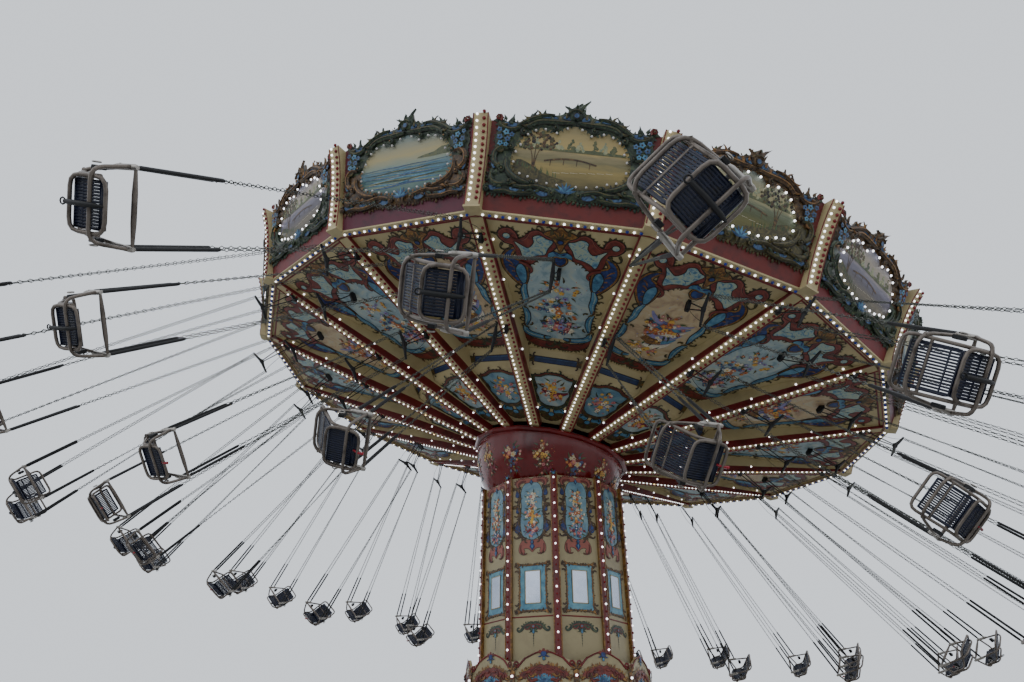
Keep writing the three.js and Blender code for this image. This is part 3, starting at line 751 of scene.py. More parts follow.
def wing():
    """The red-brown wing at the rim end of a cartouche, with its marbled field and its tip."""
    half = Piece()
    border = spline([(0.06, 2.69), (0.17, 2.73), (0.31, 2.84), (0.44, 2.79), (0.50, 2.67), (0.59, 2.62),
                     (0.65, 2.76), (0.75, 2.83), (0.87, 2.77), (0.90, 2.65), (0.80, 2.53), (0.69, 2.50),
                     (0.65, 2.36), (0.60, 2.19), (0.51, 2.11), (0.40, 2.16), (0.31, 2.27), (0.19, 2.31),
                     (0.13, 2.45), (0.06, 2.56)], 3, True)
    field = spline([(0.11, 2.655), (0.20, 2.69), (0.30, 2.75), (0.39, 2.70), (0.38, 2.59), (0.46, 2.47),
                    (0.56, 2.51), (0.66, 2.57), (0.58, 2.43), (0.55, 2.30), (0.51, 2.21), (0.43, 2.29),
                    (0.31, 2.35), (0.22, 2.38), (0.18, 2.51)], 3, True)
    inked(half, border, 0.020, "red_brown", 0.004)
    ribbon(half, grown(border, -0.016)[:36], 0.007, "rose_light", 0.007)
    inked(half, field, 0.015, "marble", 0.008)
    for at, heading in (((0.30, 2.60), 30), ((0.44, 2.42), -60), ((0.30, 2.45), -150)):
        ribbon(half, curl(at, heading, 0.12, 60, 240, 6), [0.012, 0.004], "mid_blue", 0.012)
    inked(half, round_patch((0.775, 2.67), 0.05, 12), 0.015, "marble", 0.008)
    edged(half, curl((0.47, 2.76), -70, 0.34, 60, 330, 10), [0.02, 0.03, 0.012], "red_brown", h=0.012)
    tendril(half, (0.89, 2.68), 25, 0.19, -1)
    tendril(half, (0.84, 2.53), -60, 0.20, -1)
    tendril(half, (0.72, 2.50), -95, 0.17, 1)
    tendril(half, (0.53, 2.11), -100, 0.14, 1, "bronze")
    fringe(half, border[2:26], 0.070, 0.065, "olive", 0.004, 1, 60, 9)
    fringe(half, border[36:56], 0.06, 0.075, "bronze", 0.004, 1, 60, 10)
    return half


def cartouche_side():
    """A long side of a cartouche: the gilt shoulder, the blue bands and their curls."""
    half = Piece()
    shoulder = spline([(0.63, 2.44), (0.74, 2.42), (0.83, 2.31), (0.87, 2.15), (0.84, 1.98), (0.75, 1.82),
                       (0.64, 1.68), (0.54, 1.62), (0.48, 1.74), (0.46, 1.94), (0.49, 2.10), (0.60, 2.20),
                       (0.70, 2.26)], 3, True)
    nested(half, shoulder, [(0.017, "ink"), (0, "gold"), (-0.030, "ink"), (-0.034, "blue")], 0.004)
    for k in range(5):
        at = (0.80 - 0.045 * k, 2.18 - 0.115 * k)
        ribbon(half, curl(at, 205 - 8 * k, 0.15, 30, 60, 3), [0.030, 0.014], "gold", 0.012)
    lobe = spline([(0.59, 2.12), (0.65, 2.00), (0.62, 1.84), (0.55, 1.70), (0.505, 1.74), (0.495, 1.90),
                   (0.52, 2.05)], 3, True)
    inked(half, lobe, 0.017, "light_blue", 0.014)
    edged(half, curl((0.60, 2.17), 195, 0.34, 40, 330, 11), [0.035, 0.05, 0.04, 0.02], "red_brown", h=0.017)
    for path, width in (([(0.52, 1.68), (0.545, 1.52), (0.52, 1.34), (0.545, 1.15)],
                         [0.04, 0.095, 0.085, 0.04]),
                        ([(0.55, 1.12), (0.50, 0.98), (0.49, 0.82), (0.52, 0.65)],
                         [0.04, 0.085, 0.085, 0.04]),
                        ([(0.53, 0.63), (0.51, 0.50), (0.41, 0.42), (0.24, 0.38), (0.10, 0.40)],
                         [0.04, 0.10, 0.11, 0.10, 0.03])):
        band = spline(path, 4)
        edged(half, band, width, "light_blue", h=0.006, rim=0.016)
        ribbon(half, band + [0.012, 0.008], np.array(width) * 0.18, "marble", 0.010)
        fringe(half, band + [0.045, -0.02], 0.065, 0.08, "olive", 0.003, 1, 60, 21)
    for at, heading, length, spin in (((0.60, 1.66), -30, 0.15, -1), ((0.59, 1.14), 10, 0.14, 1),
                                      ((0.57, 0.86), -40, 0.12, -1), ((0.57, 0.62), 20, 0.15, 1),
                                      ((0.47, 1.14), 170, 0.10, 1), ((0.45, 0.66), 150, 0.10, -1),
                                      ((0.60, 1.42), 60, 0.12, -1), ((0.52, 0.30), -20, 0.20, -1)):
        tendril(half, at, heading, length, spin)
    for at in ((0.545, 1.14), (0.53, 0.64)):
        leaf(half, at, 60, 0.12, 0.05, "bronze", 0.012, 0, 60)
        leaf(half, at, -120, 0.10, 0.05, "olive", 0.012, 0, -60)
    return half


def posies(design, warm):
    """What is painted inside a cartouche: swags of cloth and a basket, or a cloud of flowers."""
    if warm:
        sprigs(design, (-0.40, 0.6), (0.40, 2.1), 30, ("white", "pink", "lilac"), 5, 0.004)
        for k in range(6):
            swag = curl((-0.34 + 0.05 * k, 1.62 - 0.16 * k), -58 + 6 * k, 0.86 - 0.07 * k, 118, 70, 12)
            edged(design, swag, [0.02, 0.085, 0.10, 0.07, 0.01], ("lilac", "light_blue", "white")[k % 3],
                  "lilac", 0.004 + 0.001 * k, rim=0.006)
        edged(design, [(-0.16, 0.98), (0.0, 0.92), (0.16, 0.98)], [0.10, 0.15, 0.10], "gold", h=0.012)
        for u in (-0.14, -0.05, 0.05, 0.14):
            ribbon(design, [(u, 0.92), (u * 0.9, 1.0)], 0.012, "bronze", 0.016)
        bouquet(design, (0.02, 1.36), 0.64, 0.74, ("pink", "white", "orange", "yellow", "wine"), 34,
                0.062, 31, 0.014)
        bouquet(design, (-0.02, 0.70), 0.60, 0.30, ("yellow", "white", "pink"), 20, 0.050, 32, 0.012)
    else:
        sprigs(design, (-0.44, 0.5), (0.44, 2.14), 80, ("white", "pink", "orange", "lilac", "mid_blue"),
               6, 0.004)
        bouquet(design, (0.0, 1.58), 0.66, 0.66, ("yellow", "orange", "white", "lilac"), 26, 0.052, 33,
                0.006, 12)
        bouquet(design, (-0.03, 1.12), 0.66, 0.62, ("yellow", "white", "mid_blue", "orange"), 28, 0.062,
                34, 0.010)
        bouquet(design, (0.02, 0.74), 0.64, 0.36, ("wine", "pink", "lilac", "white", "mid_blue"), 26,
                0.064, 35, 0.014, 12)


def outer_cartouche(warm):
    """A rococo frame on an outer ceiling panel, with wings, gilt shoulders, a crest and a base."""
    design = Piece()
    field = [(0, 2.30), (0.26, 2.28), (0.44, 2.14), (0.47, 1.94), (0.48, 1.70), (0.52, 1.5), (0.50, 1.3),
             (0.53, 1.12), (0.49, 0.9), (0.50, 0.64), (0.44, 0.46), (0.2, 0.38), (0, 0.38)]
    patch(design, mirrored_outline(field), "blush" if warm else "sky", 0.001)
    posies(design, warm)
    half = wing()
    half.stamp(cartouche_side(), np.eye(4))
    fan = spline([(0.0, 2.42), (0.08, 2.46), (0.16, 2.42), (0.17, 2.34), (0.08, 2.37), (0.0, 2.36)], 3,
                 True)
    inked(half, fan, 0.008, "light_blue", 0.012)
    leaf(half, (0.02, 2.40), 30, 0.12, 0.035, "blue", 0.017)
    tendril(half, (0.12, 2.80), 100, 0.20, -1, "olive", 0.014)
    tendril(half, (0.24, 2.84), 80, 0.16, -1, "bronze", 0.014)
    base = spline([(0.0, 0.12), (0.20, 0.09), (0.38, 0.15), (0.50, 0.26), (0.55, 0.44), (0.44, 0.33),
                   (0.22, 0.27), (0.0, 0.29)], 3)
    inked(half, np.vstack([base, [[-0.01, 0.2]]]), 0.017, "red_brown", 0.004)
    fringe(half, base[:14], 0.07, 0.055, "olive", 0.004, -1, 60, 22)
    tendril(half, (0.44, 0.17), -30, 0.24, -1, "bronze", 0.010)
    tendril(half, (0.12, 0.30), 20, 0.20, 1, "olive", 0.012)
    tendril(half, (0.05, 0.16), -20, 0.18, 1, "green", 0.012)
    for k in range(3):
        leaf(half, (0.01, 0.22), 62 - 46 * k, 0.15 - 0.02 * k, 0.05, ("green", "bronze", "olive")[k],
             0.014, 0, 30)
    both(design, half)
    crest = mirrored_outline([(0, 2.96), (0.07, 2.885), (0.15, 2.865), (0.24, 2.80), (0.13, 2.73),
                              (0.06, 2.62), (0, 2.46)])
    inked(design, spline(crest, 3, True), 0.017, "gold", 0.010)
    for k in range(7):
        leaf(design, (0, 2.70), 90 + (k - 3) * 24, 0.20 - 0.012 * abs(k - 3), 0.035,
             "bronze" if k % 2 else "olive", 0.015)
    inked(design, round_patch((0, 2.67), 0.035, 10), 0.017, "blue", 0.018)
    heart = spline([(0, 2.19), (0.075, 2.26), (0.07, 2.34), (0, 2.33), (-0.07, 2.34), (-0.075, 2.26)], 3,
                   True)
    nested(design, heart, [(0.042, "ink"), (0.028, "gold"), (0.010, "ink"), (0, "blue")], 0.012)
    return design


def shell(design, at, reach, paints, lobes=7, spread=30):
    """A scallop shell of round-ended lobes that opens towards the hub."""
    for k in range(lobes):
        heading = math.radians(-90 + (k - (lobes - 1) / 2) * spread)
        ahead = np.array([math.cos(heading), math.sin(heading)]) * reach
        side = np.array([-ahead[1], ahead[0]])
        half = [(0.45, 0.13), (0.78, 0.24), (0.97, 0.15)]
        lobe = [np.array(at) + ahead * s + side * w
                for s, w in [(0.0, 0.0), *half, *[(s, -w) for s, w in half[::-1]]]]
        inked(design, spline(lobe, 2, True), 0.010, paints[k % len(paints)], 0.006)


def inner_cartouche(kind):
    """A shield of dark scrolls round flowers, over a shell by the hub."""
    half = Piece()
    side = spline([(0.0, 1.33), (0.13, 1.32), (0.24, 1.25), (0.36, 1.22), (0.35, 1.08), (0.31, 0.96),
                   (0.33, 0.84), (0.28, 0.70), (0.24, 0.58), (0.12, 0.48), (0, 0.47)], 3)
    frame_paint = "green" if kind else "bronze"
    edged(half, side, 0.055, frame_paint, h=0.006, rim=0.012)
    ribbon(half, side - [0.030, 0.0], 0.018, "light_blue", 0.004)
    ribbon(half, side[:9] + [0.004, 0.008], 0.026, "red_brown", 0.011)
    fringe(half, side, 0.070, 0.058, frame_paint, 0.005, 1, 55, 12)
    fringe(half, side, 0.05, 0.07, "olive", 0.009, -1, 50, 13)
    for at, heading, length, spin in (((0.36, 1.22), 50, 0.13, -1), ((0.33, 0.97), -20, 0.11, 1),
                                      ((0.32, 0.78), -60, 0.12, -1), ((0.24, 0.60), -50, 0.13, 1),
                                      ((0.10, 1.34), 60, 0.12, 1)):
        tendril(half, at, heading, length, spin, frame_paint, 0.010, 0.022)
    flank = spline([(0.06, 0.44), (0.18, 0.46), (0.23, 0.36), (0.14, 0.31), (0.05, 0.34)], 3, True)
    inked(half, flank, 0.017, "light_blue", 0.005)
    tendril(half, (0.05, 0.42), 30, 0.17, -1, "green", 0.010, 0.022)
    design = Piece()
    patch(design, mirrored_outline(side), "sky" if kind else "panel_sky", 0.001)
    both(design, half)
    if kind:
        edged(design, curl((-0.20, 0.92), -50, 0.52, 100, 60, 9), [0.02, 0.09, 0.1, 0.02], "wine", h=0.004)
        bouquet(design, (0, 0.94), 0.46, 0.58, ("yellow", "pink", "white", "orange"), 26, 0.056, 41)
    else:
        bouquet(design, (0, 0.90), 0.46, 0.60, ("pink", "yellow", "white", "lilac"), 28, 0.054, 42)
    shell(design, (0, 0.30), 0.21, ("olive", "bronze"))
    inked(design, round_patch((0, 0.29), 0.05, 10), 0.010, "light_blue", 0.014)
    return design


def riser_bar():
    """The navy bar with leafy gilt ends on a step of the ceiling."""
    bar = Piece()
    outline = [(-0.40, 0.135), (0.40, 0.135), (0.43, 0.18), (0.40, 0.225), (-0.40, 0.225), (-0.43, 0.18)]
    inked(bar, outline, 0.012, "navy_bar", 0.004)
    ribbon(bar, [(-0.39, 0.207), (0.39, 0.207)], 0.008, "mid_blue", 0.008)
    for sign in (-1, 1):
        out = 90 - 90 * sign
        for turn in (-34, 0, 34):
            edged(bar, curl((0.37 * sign, 0.18), out + turn, 0.17, -turn, -turn, 4), [0.045, 0.05, 0.008],
                  "olive" if turn else "gold", h=0.012, rim=0.006)
        tendril(bar, (0.37 * sign, 0.21), out + 60 * sign, 0.10, sign, "bronze", 0.016, 0.020)
        tendril(bar, (0.37 * sign, 0.15), out - 60 * sign, 0.10, -sign, "bronze", 0.016, 0.020)
    return bar


def ceiling_ornament():
    """The painted ornaments of all the ceiling panels, and the bars on the risers."""
    large = [outer_cartouche(False), outer_cartouche(True)]
    small = [inner_cartouche(0), inner_cartouche(1)]
    bar = riser_bar()
    line = Piece()
    half = CEILING_EDGE * math.sin(math.pi / BAYS) - RIB_WIDTH / 2
    rim = (CEILING_EDGE - STEP_RADIUS) * BAY_APOTHEM - 0.035
    ribbon(line, [(-half, rim), (half, rim)], 0.03, "line_red", 0.003, 0.006)
    near = HUB_RADIUS + 0.021
    hub = (near, inner_ceiling(near))
    foot = (RISER_FOOT, inner_ceiling(RISER_FOOT))
    step = (STEP_RADIUS, outer_ceiling(STEP_RADIUS))
    edge = (CEILING_EDGE, outer_ceiling(CEILING_EDGE))
    outer_panels, inner_panels = Piece(), Piece()
    for i in range(BAYS):
        outer_panels.stamp(large[(i + 1) % 2], bay_frame(i, step, edge))
        outer_panels.stamp(line, bay_frame(i, step, edge))
        inner_panels.stamp(small[i % 2], bay_frame(i, hub, foot))
        inner_panels.stamp(bar, bay_frame(i, foot, step))
    outer_panels.make("outer_ceiling_ornament", "canopy", "painted_panel")
    inner_panels.make("inner_ceiling_ornament", "canopy", "painted_panel")


# Ribs, rim and rounding boards


def rib_beam():
    """One rib in (outward, across, up) directions of the canopy, with its rows of lamps."""
    piece = Piece()
    inner = HUB_RADIUS + 0.001
    end = CEILING_EDGE - RIB_FIT - RIB_WIDTH / 2 * math.tan(math.pi / BAYS)
    top = [(inner, inner_ceiling(inner)), (RISER_FOOT, inner_ceiling(RISER_FOOT)),
           (STEP_RADIUS, outer_ceiling(STEP_RADIUS)), (end, outer_ceiling(end))]
    low = [(r, rib_bottom(r)) for r, _ in top]
    half = RIB_WIDTH / 2
    high = [(r, z - 2 * RIB_FIT) for r, z in top]
    middle = [(r, min(z + RED_BAND, above)) for (r, z), (_, above) in zip(low, high)]
    for y, order in ((half, 1), (-half, -1)):
        for over, under, paint in ((high, middle, "cream"), (middle, low, "dark_red")):
            points = [(r, y, z) for r, z in over + under]
            piece.add(points, [(k, k + 1, k + 5, k + 4)[::order] for k in range(3)], paint, False)
    points = [(r, y, z) for y in (half, -half) for r, z in low]
    piece.add(points, [(k, k + 1, k + 5, k + 4)[::-1] for k in range(3)], "cream", False)
    (_, floor), (_, ceiling) = low[-1], top[-1]
    piece.add([(end, -half, floor), (end, half, floor), (end, half, ceiling), (end, -half, ceiling)],
              [(0, 1, 2, 3)], "cream", False)
    for y in (half - 0.012, -half + 0.012):
        tube(piece, [(inner, y, rib_bottom(inner)), (end, y, rib_bottom(end))], 0.013, "line_red", 6)
    slope = unit((1, 0, RIB_SLOPE))
    soffit = place((inner, 0, rib_bottom(inner)), (0, 1, 0), slope, np.cross((0, 1, 0), slope))
    rows = Piece()
    for k in range(int(((end - inner) * math.hypot(1, RIB_SLOPE) - 0.2) / RIB_LAMP_PITCH)):
        v = 0.12 + RIB_LAMP_PITCH * k
        amber = k % 17 == 11
        bulb(rows, (-ROW_OFFSET, v), "bulb_amber" if amber else "bulb_white", 0.017, 0.002, amber)
        bulb(rows, (ROW_OFFSET, v + RIB_LAMP_PITCH / 2), "bulb_red", 0.025, 0.002)
    piece.stamp(rows, soffit)
    for sign in (1, -1):
        lamps = Piece()
        for r in np.linspace(1.9, 5.6, 6):
            bulb(lamps, (-sign * r, rib_bottom(r) + 0.09), "bulb_white", 0.018)
        piece.stamp(lamps, place((0, sign * half, 0), (-sign, 0, 0), UP, (0, sign, 0)))
    return piece


def round_canopy(one, piece):
    """Sets a copy of a shape at each corner of the canopy, turned outward."""
    for i in range(BAYS):
        out = polar(1, rib_angle(i))
        piece.stamp(one, CANOPY @ place((0, 0, 0), out, np.cross(UP, out), UP))


def ribs():
    """The sixteen ribs with their lamps."""
    piece = Piece()
    round_canopy(rib_beam(), piece)
    piece.make("ribs", "canopy", "rib_cream")


def rim_lamps():
    """White and blue lamps along the rim band under the boards, over a dark red line."""
    row = Piece()
    radius = (CEILING_EDGE + RIM_RADIUS) / 2
    half = radius * math.sin(math.pi / BAYS)
    count = 24
    for k in range(count):
        u = (k - (count - 1) / 2) * (2 * half - 0.14) / count
        bulb(row, (u, 0.0), *(("bulb_blue", 0.026) if k % 2 else ("bulb_white", 0.019)))
    ribbon(row, [(-half, -0.048), (half, -0.048)], 0.022, "line_red", 0.002, 0.004)
    piece = Piece()
    for i in range(BAYS):
        z = RIM_HEIGHT - 0.03
        piece.stamp(row, bay_frame(i, (radius, z), (radius + 1, z)))
    piece.make("rim_lamps", "canopy", "bulb_white")


def resampled(path, count):
    """A path's points at even steps along it."""
    run = travelled(path)
    at = np.linspace(0, run[-1], count)
    return np.c_[np.interp(at, run, path[:, 0]), np.interp(at, run, path[:, 1])]


# A board's picture: its middle above the board's foot, its width and height, and the right halves of
# its outline and of the carved frame's outside, from the bottom round to the top
PICTURE_MIDDLE = 0.88
PICTURE_SIZE = (1.72, 0.96)
PICTURE_EDGE = [(0.0, 0.43), (0.16, 0.42), (0.40, 0.45), (0.58, 0.49), (0.72, 0.55), (0.80, 0.66),
                (0.82, 0.80), (0.80, 0.93), (0.76, 1.03), (0.70, 1.13), (0.62, 1.21), (0.50, 1.27),
                (0.36, 1.27), (0.28, 1.22), (0.21, 1.25), (0.12, 1.32), (0.0, 1.34)]
FRAME_EDGE = [(0.0, 0.25), (0.12, 0.27), (0.28, 0.235), (0.44, 0.28), (0.60, 0.24), (0.76, 0.285),
              (0.92, 0.25), (1.10, 0.265), (1.06, 0.38), (1.10, 0.50), (1.06, 0.64), (1.10, 0.78),
              (1.06, 0.92), (1.10, 1.06), (1.06, 1.20), (1.10, 1.32), (1.02, 1.33), (0.92, 1.30),
              (0.80, 1.32), (0.68, 1.37), (0.54, 1.43), (0.40, 1.47), (0.26, 1.48), (0.14, 1.53),
              (0.0, 1.57)]

# The carved scrolls of the frame's leafy top and of its foot, as a curve and its widths
TOP_SCROLLS = (
    ([(0.03, 1.37), (0.20, 1.36), (0.38, 1.36), (0.54, 1.33), (0.66, 1.24)], [0.04, 0.07, 0.075, 0.05]),
    ([(0.30, 1.45), (0.44, 1.44), (0.58, 1.39), (0.70, 1.32), (0.80, 1.24)], [0.03, 0.06, 0.06, 0.04]),
    ([(0.74, 1.24), (0.86, 1.19), (0.98, 1.21), (1.05, 1.28)], [0.03, 0.06, 0.06, 0.04]),
)
FOOT_SCROLLS = (
    ([(0.86, 0.90), (0.98, 0.91), (1.05, 0.82), (1.04, 0.70), (0.95, 0.62)], [0.03, 0.07, 0.07, 0.05]),
    ([(0.87, 0.78), (0.87, 0.66), (0.80, 0.55), (0.66, 0.47), (0.50, 0.43)],
     [0.03, 0.06, 0.07, 0.06, 0.03]),
    ([(1.05, 0.56), (1.04, 0.44), (0.94, 0.38), (0.82, 0.40)], [0.03, 0.07, 0.07, 0.04]),
    ([(0.72, 0.38), (0.58, 0.37), (0.44, 0.40), (0.30, 0.38), (0.20, 0.34)],
     [0.03, 0.06, 0.05, 0.06, 0.03]),
    ([(0.98, 0.27), (0.84, 0.29), (0.72, 0.27), (0.58, 0.28), (0.44, 0.30)],
     [0.02, 0.05, 0.05, 0.05, 0.02]),
)


def carved_scroll(half, points, width, paint, shine, h=0.055):
    """A carved scroll along a curve, its ink rim painted shadow, its lighter top line a painted highlight.
    """
    path = spline(points, 3)
    widths = np.array(width)
    edged(half, path, widths, paint, "ink", h, 0.030, 0.009)
    # The lighter line along the top is a painted highlight
    ribbon(half, path[1:-1], widths * 0.22, shine, h + 0.034)


def volute(half, at, radius, start, spin, paint, shine, h=0.060):
    """The curled end of a carved scroll."""
    turn = np.radians(start + spin * np.linspace(0, 470, 9))
    reach = radius * np.linspace(1.0, 0.16, 9)
    path = np.c_[at[0] + reach * np.cos(turn), at[1] + reach * np.sin(turn)]
    # The ink rim is painted shadow, and the dot of the lighter paint in its eye a painted highlight
    edged(half, path, [radius * 0.75, radius * 0.6, radius * 0.3], paint, "ink", h, 0.024, 0.008)
    dot(half, at, radius * 0.3, shine, h + 0.030, 6)


def carved_frame(lower, upper):
    """Half of the carved frame round a picture, with its foot in one paint and its leafy top in another."""
    half = Piece()
    count = 41
    inner = resampled(spline(PICTURE_EDGE, 3), count)
    outer = resampled(spline(FRAME_EDGE, 3), count)
    wave = 0.7 + 0.3 * np.cos(np.arange(count) * 2.1)
    rows = [np.c_[inner * (1 - s) + outer * s, 0.012 + 0.04 * math.sin(math.pi * s) * wave]
            for s in (0.0, 0.3, 0.7, 1.0)]
    split = 20
    for first, last, paint in ((0, split, lower), (split, count - 1, upper)):
        n = last - first + 1
        i = np.arange(last - first)
        faces = [np.c_[i + k * n, i + (k + 1) * n, i + 1 + (k + 1) * n, i + 1 + k * n] for k in range(3)]
        half.add(np.concatenate([row[first:last + 1] for row in rows]), np.concatenate(faces), paint)
    for points in (((0.20, 0.33), (0.30, 0.30), (0.42, 0.34)), ((0.56, 0.33), (0.66, 0.30), (0.76, 0.34)),
                   ((0.88, 0.33), (0.98, 0.31), (1.05, 0.34)), ((1.02, 0.60), (1.04, 0.68), (1.02, 0.76)),
                   ((0.26, 1.415), (0.38, 1.42), (0.48, 1.40)),
                   ((0.78, 1.27), (0.88, 1.255), (0.98, 1.275)),
                   ((0.08, 1.41), (0.13, 1.44), (0.18, 1.43))):
        edged(half, spline(points, 3), [0.02, 0.06, 0.065, 0.02], "mid_blue", "ink", 0.050, 0.004, 0.010)
    # shine and glint are the lighter paints laid on the scrolls, volutes and some leaves as painted
    # highlight
    shine, glint = ["gold" if paint == "bronze" else "olive" for paint in (lower, upper)]
    for scrolls, paint, highlight in ((TOP_SCROLLS, upper, glint), (FOOT_SCROLLS, lower, shine)):
        for points, widths in scrolls:
            carved_scroll(half, points, widths, paint, highlight)
    for at, radius, start, spin, paint in (((0.69, 1.17), 0.045, 80, -1, upper),
                                           ((0.27, 1.27), 0.040, 90, 1, upper),
                                           ((1.07, 1.345), 0.050, -120, -1, "red_brown"),
                                           ((0.92, 0.60), 0.050, 60, 1, lower),
                                           ((0.79, 0.43), 0.045, -60, -1, lower),
                                           ((0.47, 0.45), 0.035, 0, 1, lower),
                                           ((1.08, 0.30), 0.045, 120, -1, lower),
                                           ((0.84, 0.93), 0.045, 0, 1, upper),
                                           ((0.18, 0.32), 0.040, 30, -1, lower)):
        volute(half, at, radius, start, spin, paint, shine)
    draw = random.Random(7)
    leaves = 28
    for k in range(leaves):
        share = (k + 0.5) / leaves * (count - 1)
        depth = draw.uniform(0.25, 0.95)
        a, b = [np.array([np.interp(share, np.arange(count), line[:, c]) for c in (0, 1)])
                for line in (inner, outer)]
        out = math.degrees(math.atan2(*(b - a)[::-1]))
        paint = draw.choice((lower, shine, "green") if share < split else (upper, glint, upper))
        turn = draw.choice((-1, 1))
        leaf(half, a + (b - a) * depth, out - 50 * turn, draw.uniform(0.08, 0.13), 0.045, paint, 0.066,
             0.016, 80 * turn)
    fringe(half, outer[:split + 1], 0.060, 0.052, lower, 0.012, -1, 62, 15, 0.3)
    fringe(half, outer[split:], 0.034, 0.085, upper, 0.020, -1, 62, 16)
    fringe(half, inner[:split + 1], 0.045, 0.07, shine, 0.030, 1, 62, 17)
    fringe(half, inner[split:], 0.055, 0.07, upper, 0.030, 1, 62, 18)
    for k, at in enumerate(((0.93, 1.13), (1.01, 1.05), (0.90, 1.03), (0.99, 0.96), (0.85, 1.10),
                            (1.03, 1.16), (0.91, 0.95))):
        bloom(half, at, 0.052 - 0.002 * k, "mid_blue" if k % 3 else "light_blue", "ink", 0.085, 5, 0.7 * k)
    for at, heading, length, bend in (((0.60, 1.39), 84, 0.13, 60), ((0.86, 1.31), 60, 0.12, 60),
                                      ((0.44, 1.45), 60, 0.09, 60), ((0.98, 1.32), 100, 0.09, -60)):
        leaf(half, at, heading, length, 0.06, upper, 0.030, 0.03, bend)
    return half


def broadleaf(design, at, seed, width=0.32, height=0.22):
    """A painted tree: leaning trunks under clouds of leaves."""
    draw = random.Random(seed)
    for lean in (-0.12, 0.0, 0.10):
        top = (at[0] + lean, at[1] + height)
        ribbon(design, spline([(at[0] + lean * 0.1, at[1] - 0.16), (at[0] + lean * 0.3, at[1]), top], 3),
               [0.020, 0.012, 0.005], "bronze", TRUNKS)
    for _ in range(100):
        turn, share = draw.uniform(0, 2 * math.pi), math.sqrt(draw.random())
        spot = (at[0] + math.cos(turn) * share * width,
                at[1] + height + math.sin(turn) * share * height * 0.62)
        dot(design, spot, draw.uniform(0.014, 0.032),
            draw.choice(("bronze", "olive", "haze_dark", "ink")), NEAR, 5)


def open_water(design):
    """Rolling waves with foam on their crests, and a far headland, over a picture's ground."""
    draw = random.Random(19)
    headland = spline([(0.76, 0.93), (0.76, 1.03), (0.62, 1.05), (0.50, 0.99), (0.34, 0.97),
                       (0.20, 0.93)], 2, True)
    patch(design, headland, "haze_dark", FAR + 0.0003)
    for k in range(9):
        v = 0.86 - 0.036 * k
        reach = 0.74 - 0.030 * max(0, k - 6)
        along = np.linspace(-reach, reach, 17)
        crest = np.c_[along, v + (0.004 + 0.0012 * k) * np.sin(along * (11 - 0.6 * k) + 1.7 * k)]
        body = np.linspace(0.012, 0.036, 9)[k]
        ribbon(design, crest, [0.006, body, body, 0.006],
               ("mid_blue", "light_blue", "green", "light_blue")[k % 4], LAND)
        for _ in range(3):
            first = draw.randrange(0, 12)
            ribbon(design, crest[first:first + 5] + [0, body * 0.4],
                   [0.002, body * 0.34, body * 0.26, 0.002], "haze", NEAR)


def riverside(design, seed):
    """Far trees, a bridge over water, a bank and a near tree over a picture's ground."""
    draw = random.Random(seed)
    flip = -1 if seed % 2 else 1
    for k in range(9):
        u = -0.62 + 0.15 * k + draw.uniform(-0.03, 0.03)
        tall = draw.uniform(0.10, 0.17)
        ribbon(design, [(u, 0.98), (u, 0.98 + tall)], [0.008, 0.003], "haze_dark", FAR)
        for _ in range(12):
            share = draw.random()
            spot = (u + draw.uniform(-0.055, 0.055) * (1.1 - share), 0.99 + tall * share)
            dot(design, spot, 0.024 * (1.2 - 0.5 * share), "haze" if k % 2 else "haze_dark", FAR, 5)
    patch(design, [(-0.74, 0.955), (0.74, 0.955), (0.74, 0.99), (0.3, 1.01), (-0.2, 0.985),
                   (-0.74, 1.01)], "haze_dark", LAND)
    bank = spline([(0.74 * flip, 0.52), (0.74 * flip, 0.78), (0.52 * flip, 0.72), (0.30 * flip, 0.60),
                   (0.02 * flip, 0.53), (0.3 * flip, 0.48)], 3, True)
    patch(design, bank, "olive", LAND)
    broadleaf(design, (0.50 * flip, 0.86), seed)
    for k in range(12):
        u = flip * (0.16 + 0.05 * k) + draw.uniform(-0.02, 0.02)
        leaf(design, (u, 0.56 + 0.012 * k), 90 + draw.uniform(-16, 16), 0.10, 0.012, "leaf", NEAR)
    arch = np.array([(-0.36 + 0.09 * j, 0.80 + 0.055 * math.sin(math.pi * j / 8))
                     for j in range(9)]) * [flip, 1]
    ribbon(design, arch, 0.022, "bronze", BRIDGE)
    for foot in arch[1::2]:
        ribbon(design, [foot, foot - [0, 0.09]], [0.012, 0.008], "bronze", BRIDGE)
    for k in range(7):
        u = -flip * 0.5 + 0.12 * flip * k
        ribbon(design, [(u, 0.70 - 0.01 * k), (u + 0.10, 0.70 - 0.01 * k)], [0.004, 0.012, 0.003],
               "white", TRUNKS)


def board_frame(index):
    """The frame of a rounding board."""
    return bay_frame(index, (RIM_RADIUS, RIM_HEIGHT), (board_radius(BOARD_TOP), BOARD_TOP))


